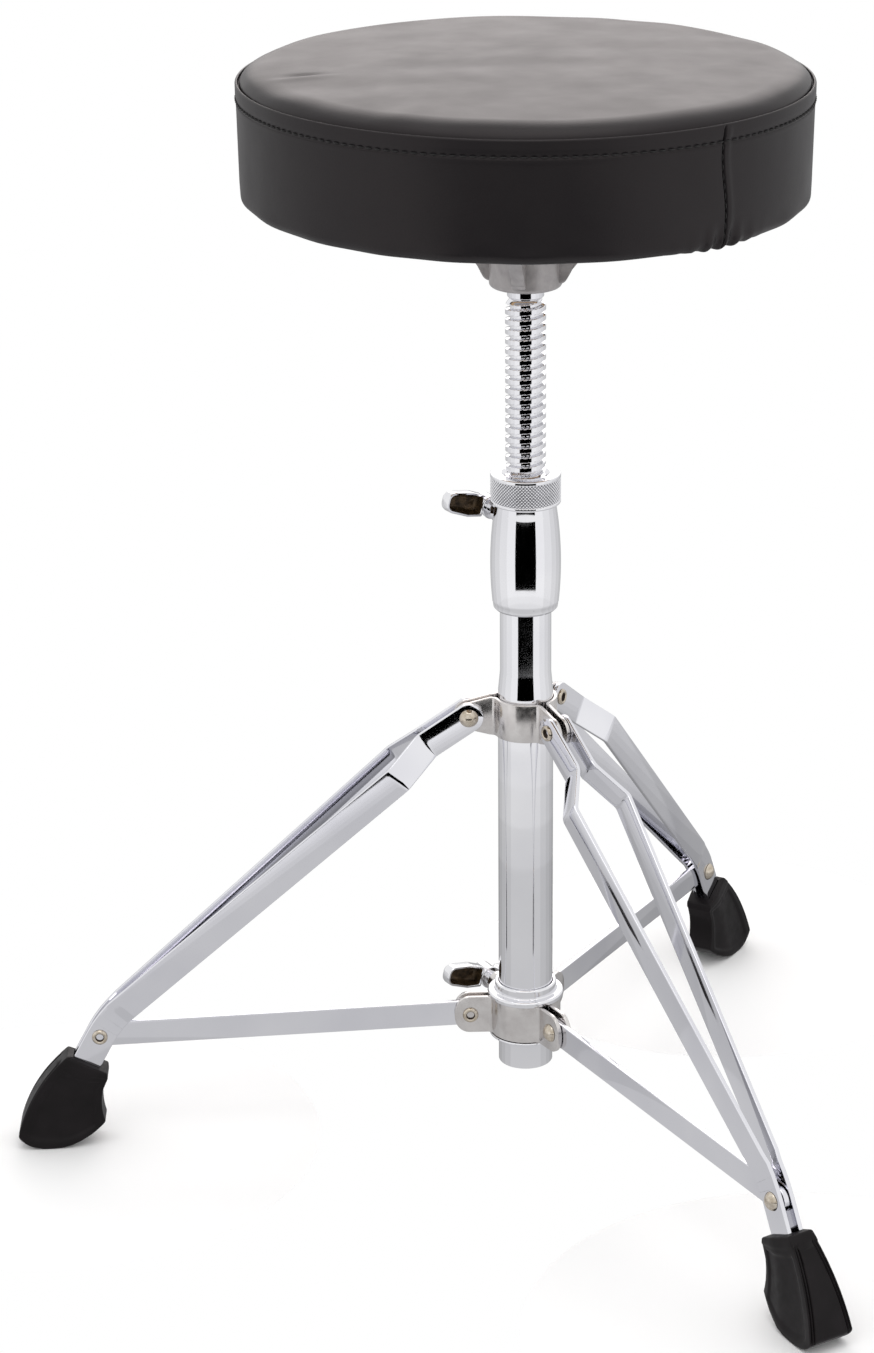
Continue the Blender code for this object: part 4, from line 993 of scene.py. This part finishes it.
def post_shell(steps=72, per_pitch=22):
    """The threaded length as a grid of angle and height, with the neck and spigot above it."""
    a = np.linspace(0, 2 * math.pi, steps, endpoint=False)[None, :]
    z = np.arange(post_low.z + 0.0012, thread_end, thread_pitch / per_pitch)[:, None]
    r = thread_radius(a, z)
    tip = rounded([(0, post_low.z), (0.0076, post_low.z), (root_r, post_low.z + 0.0011)],
                  (0, 0.0004, 0))
    above = rounded(
        [(root_r, thread_end), (neck_radius, thread_end + 0.0012), (neck_radius, hub_z - 0.0003),
         (0.0080, hub_z - 0.0003), (0.0080, 0.5423), (0.0068, 0.5423), (0.0068, 0.5442),
         (0.0080, 0.5442), (0.0080, post_high.z), (0, post_high.z)],
        (0, 0.0008, 0.0003, 0.0002, 0.0001, 0.0001, 0.0001, 0.0001, 0.0008, 0))
    ends = [np.broadcast_to(rows.T[:, :, None], (2, len(rows), steps)) for rows in (tip, above)]
    radius = np.concatenate([ends[0][0], r, ends[1][0]])
    height = np.concatenate([ends[0][1], np.broadcast_to(z, r.shape), ends[1][1]])
    return skin(turned(radius, a, height))


make_piece("threaded_post_rolled", [at_post(post_shell())], chrome_tube, "post",
           ["threaded_post"], crease=55.0)
zinc = finish("bright_zinc_plate", "a9aaa6", "c8c9c2", 3.0, (0.22, 0.36), 1.5, Metallic=1.0)
give_finish(zinc, "post_circlip")

# ---------------------------------------------------------------- height nut
# A steel nut turned to a cylinder, diamond knurled round its side for grip, with plain edges and
# a dished, polished top. It sits on the housing and carries the seat's height. Chrome plated.
nut_low, nut_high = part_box("height_nut")
nut_r = (nut_high.x - nut_low.x) / 2
# Knurling of 1.2 mm pitch, drawn at 1.9 mm.
diamonds = 64
knurl_depth = 0.0006


def knurl(angle, height):
    """Two families of helical grooves: a diamond's height is the lesser of its distances from
    both, cut off at a flat top."""
    pitch = 2 * math.pi * nut_r / diamonds
    around, climb = angle * diamonds / (2 * math.pi), height / pitch
    one = 1 - np.abs(2 * ((around + climb) % 1.0) - 1)
    other = 1 - np.abs(2 * ((around - climb) % 1.0) - 1)
    return np.minimum(np.minimum(one, other) * 1.25, 1.0)


def nut_shell(per_diamond=10, rows=90):
    """The knurled side as a grid of angle and height, and the smooth rest as a turned profile."""
    steps = diamonds * per_diamond
    a = np.linspace(0, 2 * math.pi, steps, endpoint=False)[None, :]
    plain_low, plain_high = nut_low.z + 0.0014, nut_high.z - 0.0018
    z = np.linspace(plain_low, plain_high, rows)[:, None]
    band = smooth_step(z, plain_low, plain_low + 0.0008)
    band = band * (1 - smooth_step(z, plain_high - 0.0010, plain_high))
    side = nut_r - knurl_depth * band * (1 - knurl(a, z)) + 0 * a
    bore = post_r + 0.0003
    corners = [(nut_r, nut_high.z - 0.0017), (nut_r, nut_high.z), (bore + 0.0022, nut_high.z),
               (bore, nut_high.z - 0.0022), (bore, nut_low.z), (nut_r, nut_low.z),
               (nut_r, nut_low.z + 0.0013)]
    rest = rounded(corners, (0, 0.0009, 0.0005, 0.0004, 0.0004, 0.0009, 0))
    radius = np.concatenate([side, np.broadcast_to(rest[:, :1], (len(rest), steps))])
    height = np.concatenate([np.broadcast_to(z, side.shape),
                             np.broadcast_to(rest[:, 1:], (len(rest), steps))])
    return skin(turned(radius, a, height), True)


nut = make_piece("height_nut_knurled", [at_post(nut_shell())], chrome_tube, "height_nut",
                 ["height_nut"], crease=60.0)
# The knurl's deepest faces get a darker, rougher material. It is partly the thinner, duller plate
# that real grooves have, and partly painted shade in the grooves.
knurl_root_dull_and_shaded = finish("knurl_root_thin_plate_and_painted_shade", "77777b", "8e8e93", 1.5, (0.30, 0.45), 1.0,
                   Metallic=1.0)


def in_knurl_root(middles, normals):
    """Faces of the nut's side in the deepest third of the knurl."""
    off_axis = np.hypot(middles[:, 0] - axis_x, middles[:, 1] - axis_y)
    in_band = (middles[:, 2] > nut_low.z + 0.0020) & (middles[:, 2] < nut_high.z - 0.0024)
    return in_band & (off_axis < nut_r - 0.67 * knurl_depth) & (off_axis > nut_r - 0.002)


repaint(nut, knurl_root_dull_and_shaded, in_knurl_root)

# ---------------------------------------------------------------- seat bracket
# A casting: a round hub on the post's spigot, a flange screwed under the board and four ribs
# between them. Stove enamelled silver-grey, which softens every edge and hides the sand grain.
enamel = finish("silver_stove_enamel", "8f8c8d", "a3a0a1", 6.0, (0.32, 0.42), 3.0,
                (1.4, 0.05, 0.25), Metallic=0.35, Coat_Weight=0.35, Coat_Roughness=0.15)
bracket_low, bracket_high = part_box("seat_bracket")
hub_r = 0.01975
flange_r = 0.056
flange_sheet = 0.0050
flange_low = bracket_high.z - flange_sheet
bore = 0.0120
bracket_profile = rounded(
    [(bore, bracket_high.z), (flange_r, bracket_high.z), (flange_r, flange_low),
     (hub_r + 0.006, flange_low), (hub_r, flange_low - 0.006), (hub_r, bracket_low.z),
     (0.0083, bracket_low.z), (0.0083, bracket_low.z + 0.003), (bore, bracket_low.z + 0.003)],
    (0.0004, 0.0012, 0.0016, 0.003, 0.003, 0.0022, 0.0005, 0, 0), True)
rib_corners = [(hub_r - 0.004, flange_low + 0.002), (flange_r - 0.004, flange_low + 0.002),
               (flange_r - 0.0045, flange_low - 0.0022), (0.0245, bracket_low.z + 0.009),
               (0.0218, bracket_low.z + 0.003), (hub_r - 0.004, bracket_low.z + 0.002)]
rib_radii = (0, 0, 0.0015, 0.012, 0.004, 0)
rib_half = 0.0037
first_rib = math.radians(-133.0)


def plank(outline, half, corner):
    """An outline in X and Z given a thickness in Y: rows of it drawn in towards its middle
    follow a quarter round at both edges, then close on the middle."""
    middle = outline.mean(0)
    a = np.linspace(0, math.pi / 2, 5)
    size = np.linalg.norm(outline - middle, axis=1).mean()
    scale = 1 - corner * (1 - np.sin(a)) / size
    depth = half - corner * (1 - np.cos(a))
    scales = np.concatenate([[0.0, 0.85 * scale[0]], scale, scale[::-1], [0.85 * scale[0], 0.0]])
    depths = np.concatenate([[half, half], depth, -depth[::-1], [-half, -half]])
    flat = middle + (outline - middle) * scales[:, None, None]
    y = np.broadcast_to(depths[:, None, None], (*flat.shape[:2], 1))
    return skin(np.concatenate([flat[..., :1], y, flat[..., 1:]], -1))


shells = [at_post(lathe(bracket_profile, 96))]
for i in range(4):
    points, faces = plank(dense(rounded(rib_corners, rib_radii, True), 0.004), rib_half, 0.0012)
    shells.append((leg_place(first_rib + i * math.pi / 2, points), faces))
make_piece("seat_bracket_casting", shells, enamel, "seat", ["seat_bracket"])
give_finish(nylon, "swivel_bush")


head_height = 0.0028


def cross_head(steps=48):
    """A pan-headed screw seen from below: rings over the head, pushed in where they lie inside a
    cross of two slots."""
    a = np.linspace(0, 2 * math.pi, steps, endpoint=False)[None, :]
    profile = rounded([(0.0001, -head_height), (0.0032, -head_height), (0.0046, -0.0012),
                       (0.0046, 0.0), (0.0020, 0.0), (0.0020, 0.009), (0.0, 0.0095)],
                      (0, 0.0012, 0.0008, 0.0002, 0, 0, 0))
    flat_rings = np.linspace(0.0, 0.0026, 14)
    inner = np.column_stack([flat_rings, np.full(len(flat_rings), -head_height)])
    profile = np.concatenate([inner, profile[1:]])
    r, z = profile.T[:, :, None]
    x, y = r * np.cos(a), r * np.sin(a)
    near = np.minimum(np.abs(x), np.abs(y))
    slot_half, slot_reach, slot_depth = 0.0005, 0.0023, 0.0013
    slot = smooth_step(-near, -slot_half - 0.0001, -slot_half + 0.0001)
    slot = slot * (r < slot_reach) * (z < -0.0027)
    return skin(np.stack([x, y, z + slot_depth * slot], -1))


for i in range(4):
    low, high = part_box(f"seat_bracket_screw_{i + 1}")
    points, faces = cross_head()
    points = points + ((low.x + high.x) / 2, (low.y + high.y) / 2, low.z + head_height)
    make_piece(f"bracket_screw_{i + 1}_cross_head", [(points, faces)], zinc, "seat",
               [f"seat_bracket_screw_{i + 1}"])

# ---------------------------------------------------------------- seat board and foam
# A disc of 12 mm birch plywood carries the foam. Only its underside shows, inside the ring of
# vinyl that is stapled to it. The veneer's grain runs along X, in streaks a few mm wide.
plywood, tree, shader, place = new_finish("birch_plywood")
tree.links.new(mottle(tree, place, 2.0, 0.55, 0.72), shader.inputs["Roughness"])
grain = mottle(tree, place, 4.0, 0.0, 1.0, 6.0, (0.06, 1.0, 1.0))
streaks = add(tree, "Mix", {"Factor": grain, "A": srgb("8e6a45"), "B": srgb("d2b286")},
              data_type="RGBA")
tree.links.new(streaks.outputs["Result"], shader.inputs["Base Color"])
bump = add(tree, "Bump", {"Height": grain, "Distance": 0.0001, "Strength": 0.4})
tree.links.new(bump.outputs["Normal"], shader.inputs["Normal"])
give_finish(plywood, "seat_board")

foam = finish("polyurethane_foam", "c9b98a", "e0d3a8", 10.0, (0.9, 1.0), 2.0, (1.0, 0.4, 0.8))
foam_low, foam_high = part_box("seat_foam")
foam_r = (foam_high.x - foam_low.x) / 2
foam_profile = rounded([(0.0, foam_low.z), (foam_r, foam_low.z), (foam_r, foam_high.z - 0.006),
                        (0.0, foam_high.z)], (0, 0.002, 0.008, 0))
foam_pad = make_piece("seat_foam_disc", [at_post(lathe(foam_profile, 96, closed=False))], foam,
                      "seat", ["seat_foam"])

# ---------------------------------------------------------------- seat cover
# Black upholstery vinyl: a round top panel sewn to a side band, pulled down over the foam and
# stapled under the board. The band's raw edge is turned and topstitched 9 mm below the seam.
vinyl, tree, shader, place = new_finish("upholstery_vinyl")
shader.inputs["Specular IOR Level"].default_value = 0.27
shader.inputs["Specular Tint"].default_value = srgb("fff4f2")
dress(tree, shader, place, "151316", "191719", 45.0, (0.40, 0.45), 28.0)
# Leather grain of 0.4 mm pebbles, drawn at 0.9 mm, over a slow unevenness of the foam below.
pebbles = add(tree, "TexVoronoi", {"Vector": place, "Scale": 1000.0 / 0.9})
soft = mottle(tree, place, 30.0, 0.0, 1.0, 2.0)
fine = add(tree, "Bump", {"Height": pebbles.outputs["Distance"], "Distance": 0.00006,
                          "Strength": 0.35})
slow = add(tree, "Bump", {"Height": soft, "Distance": 0.0004, "Strength": 0.25,
                          "Normal": fine.outputs["Normal"]})
tree.links.new(slow.outputs["Normal"], shader.inputs["Normal"])

cover_low, cover_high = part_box("seat_cover")
seat_r = (cover_high.x - cover_low.x) / 2
seam_z = 0.6205
stitch_z = seam_z - 0.0090
opening_r = 0.120
joint_azimuth = math.radians(-82.0)


def joint_wander(height):
    """How far the upright joint strays sideways, as an angle: 1.8 mm either way, a slow sine."""
    return 0.0018 * np.sin((height - cover_low.z) * 95.0) / seat_r


pucker = np.array([-0.113, 0.037])


def cover_profile():
    """Radius and height from the crown's middle, down the roll into the seam's groove, up over
    the band's turned edge, down the side and in under the board to the stapled edge."""
    top = np.linspace(0, 1, 44) ** 0.9
    crown = np.column_stack([top * (seat_r - 0.0185), cover_high.z - 0.0022 * top ** 2.4])
    # The roll at the edge: a quarter ellipse, tilted at the top as the crown is.
    turn = np.linspace(0, math.pi / 2, 16)[1:, None]
    across, fall = 0.0163, crown[-1][1] - (seam_z - 0.0022)
    edge = crown[-1] + np.hstack([across * np.sin(turn), -fall * (1 - np.cos(turn))])
    roll = rounded(
        [edge[-1], (seat_r - 0.0017, seam_z - 0.0024), (seat_r - 0.0013, seam_z),
         (seat_r, seam_z - 0.0006), (seat_r, stitch_z), (seat_r - 0.0004, stitch_z - 0.004),
         (seat_r - 0.0012, cover_low.z + 0.004), (seat_r - 0.0050, cover_low.z + 0.0006),
         (opening_r, cover_low.z), (opening_r, cover_low.z + 0.0080)],
        (0, 0.0002, 0.0005, 0.0009, 0.01, 0.01, 0.005, 0.0055, 0.0005, 0),
        steps=7)
    return dense(np.concatenate([crown, edge[:-1], roll]), 0.0022)


def cover_shell():
    """The profile turned about the post, then pressed in along the stitched line and the upright
    seam, gathered under that seam, and puckered at one place on the top."""
    profile = cover_profile()
    even = np.linspace(-math.pi, math.pi, 300, endpoint=False)
    fine = joint_azimuth + np.linspace(-0.012, 0.012, 121) / seat_r
    a = np.unique(np.concatenate([even, fine]))[None, :]
    r, z = profile.T[:, :, None]
    r, z = r + 0 * a, z + 0 * a
    side = smooth_step(r, seat_r - 0.004, seat_r - 0.002) * (z < seam_z + 0.0002)
    r = r - 0.0007 * side * np.exp(-((z - stitch_z) / 0.0011) ** 2)
    off = (a - joint_azimuth - joint_wander(z) + math.pi) % (2 * math.pi) - math.pi
    reach = off * seat_r
    down = smooth_step(-z, -seam_z, -seam_z + 0.004)
    r = r - 0.0018 * side * down * np.exp(-(reach / 0.0006) ** 2)
    r = r + 0.0004 * side * down * np.exp(-((reach - 0.0030) / 0.0020) ** 2)
    gather = smooth_step(-z, -(cover_low.z + 0.016), -(cover_low.z + 0.002))
    near = np.exp(-(reach / 0.020) ** 2)
    rim = smooth_step(r, seat_r - 0.030, seat_r - 0.010)
    ripple = np.sin(reach * 620.0 + 1.2)
    r = r + 0.0011 * gather * near * rim * ripple
    z = z - 0.0011 * gather * near * rim * (0.7 + 0.6 * ripple)
    slack = smooth_step(-z, -(cover_low.z + 0.012), -cover_low.z - 0.002) * rim
    r = r + 0.0004 * slack * np.sin(a * 23.0 + 0.6 * np.sin(a * 5.0))
    x, y = r * np.cos(a), r * np.sin(a)
    out = pucker / np.linalg.norm(pucker)
    along_fold = (x - pucker[0]) * out[0] + (y - pucker[1]) * out[1]
    over_fold = (x - pucker[0]) * -out[1] + (y - pucker[1]) * out[0]
    top = smooth_step(z, seam_z + 0.001, seam_z + 0.004)
    fold = np.exp(-(along_fold / 0.012) ** 2 - ((over_fold - along_fold ** 2 * 9) / 0.0035) ** 2)
    swell = np.exp(-(along_fold / 0.016) ** 2 - ((over_fold - 0.007) / 0.006) ** 2)
    z = z + top * (0.0007 * swell - 0.0012 * fold)
    z = z + top * 0.00035 * np.sin(x * 70.0 + 2.0 * np.sin(y * 41.0)) * np.cos(y * 55.0)
    points = np.stack([x, y, z], -1)
    return points, [quads(*points.shape[:2])]


def closed_under(points, faces):
    """Closes the cover's inner edge with a flat sheet across, out of sight in the board."""
    columns = points.shape[1]
    points = points.reshape(-1, 3)
    last = len(points) - columns
    centre = np.append(points[last:, :2].mean(0), points[last:, 2].mean())
    c = np.arange(columns)
    fan = np.stack([np.full(columns, len(points)), last + c, last + (c + 1) % columns], 1)
    return np.concatenate([points, [centre]]), [*faces, fan]


cover = make_piece("seat_cover_vinyl", [at_post(closed_under(*cover_shell()))], vinyl, "seat",
                   ["seat_cover"], crease=60.0)

# ---------------------------------------------------------------- stitching
# Black bonded nylon thread in stitches about 5 mm apart round the band and down its upright joint.
# Each stitch is a short bead that dives into the vinyl at both ends. The thread is 0.6 mm thick,
# drawn at 1.0 mm and 0.8 mm so that it shows.
thread = finish("bonded_nylon_thread", "070506", "120f10", 2.0, (0.6, 0.8), 1.0,
                (0.3, 0.05, 0.5))


def stitch_row(starts, ends, outward, thickness):
    """A bead for each stitch: rings of eight round the line from start to end, swelling in the
    middle and sinking at the ends, as half a sine wave does."""
    rings, sides = 6, 8
    t = np.linspace(0, 1, rings)
    swell = np.sin(math.pi * (0.12 + 0.76 * t))
    ring = np.linspace(0, 2 * math.pi, sides, endpoint=False)
    along_it = ends - starts
    along_it = along_it / np.linalg.norm(along_it, axis=1)[:, None]
    across = np.cross(outward, along_it)
    line = starts[:, None] + (ends - starts)[:, None] * t[None, :, None]
    line = line + outward[:, None] * (thickness * (swell - 0.75))[None, :, None]
    radius = (thickness / 2 * np.sqrt(swell))[None, :, None, None]
    turn = (across[:, None, None] * np.cos(ring)[None, None, :, None]
            + outward[:, None, None] * np.sin(ring)[None, None, :, None])
    points = line[:, :, None] + radius * turn
    count = len(starts)
    block = quads(rings, sides)
    offsets = (np.arange(count) * rings * sides)[:, None, None]
    near = np.arange(sides)[::-1][None]
    far = (rings - 1) * sides + np.arange(sides)[None]
    faces = [(block[None] + offsets).reshape(-1, 4)]
    faces += [(cap[None] + offsets).reshape(-1, sides) for cap in (near, far)]
    return points.reshape(-1, 3), faces


band_count = 190
middle_a = 2 * math.pi * np.arange(band_count) / band_count
half_a = 0.36 * 2 * math.pi / band_count


band_r = seat_r - 0.0003
band = stitch_row(turned(band_r, middle_a - half_a, stitch_z),
                  turned(band_r, middle_a + half_a, stitch_z), turned(1.0, middle_a, 0.0), 0.0010)
joint_z = np.linspace(cover_low.z + 0.007, stitch_z - 0.003, 10)
joint_a = joint_azimuth + joint_wander(joint_z)
joint_r = seat_r - 0.0009 - 0.0007 * (stitch_z - joint_z) / (stitch_z - cover_low.z)
spot = turned(joint_r, joint_a, joint_z)
half_stitch = (0, 0, 0.0017)
upright = stitch_row(spot - half_stitch, spot + half_stitch, turned(1.0, joint_a, 0.0), 0.0008)
make_piece("cover_stitches", [at_post(band), at_post(upright)], thread, "seat")

# ---------------------------------------------------------------- staples
# Galvanised wire staples, 10 mm wide, driven through the folded edge of the vinyl into the board
# all round the underside. Each shows as a wire crown whose ends sink into the vinyl.
staple_count = 44
staple_a = 2 * math.pi * (np.arange(staple_count) + 0.3) / staple_count
radial = turned(1.0, staple_a, 0.0)
tangent = turned(1.0, staple_a + math.pi / 2, 0.0)
twist = 0.25 * np.sin(staple_a * 13.0)[:, None]
lie = tangent * np.cos(twist) + radial * np.sin(twist)
staple_r = opening_r + 0.0075 + 0.0012 * np.sin(staple_a * 7.0)
spot = turned(staple_r, staple_a, cover_low.z + 0.00005)
half_crown = lie * 0.005
wires = stitch_row(spot - half_crown, spot + half_crown,
                   np.tile([0.0, 0.0, -1.0], (staple_count, 1)), 0.0010)
make_piece("cover_staples", [at_post(wires)], zinc, "seat")
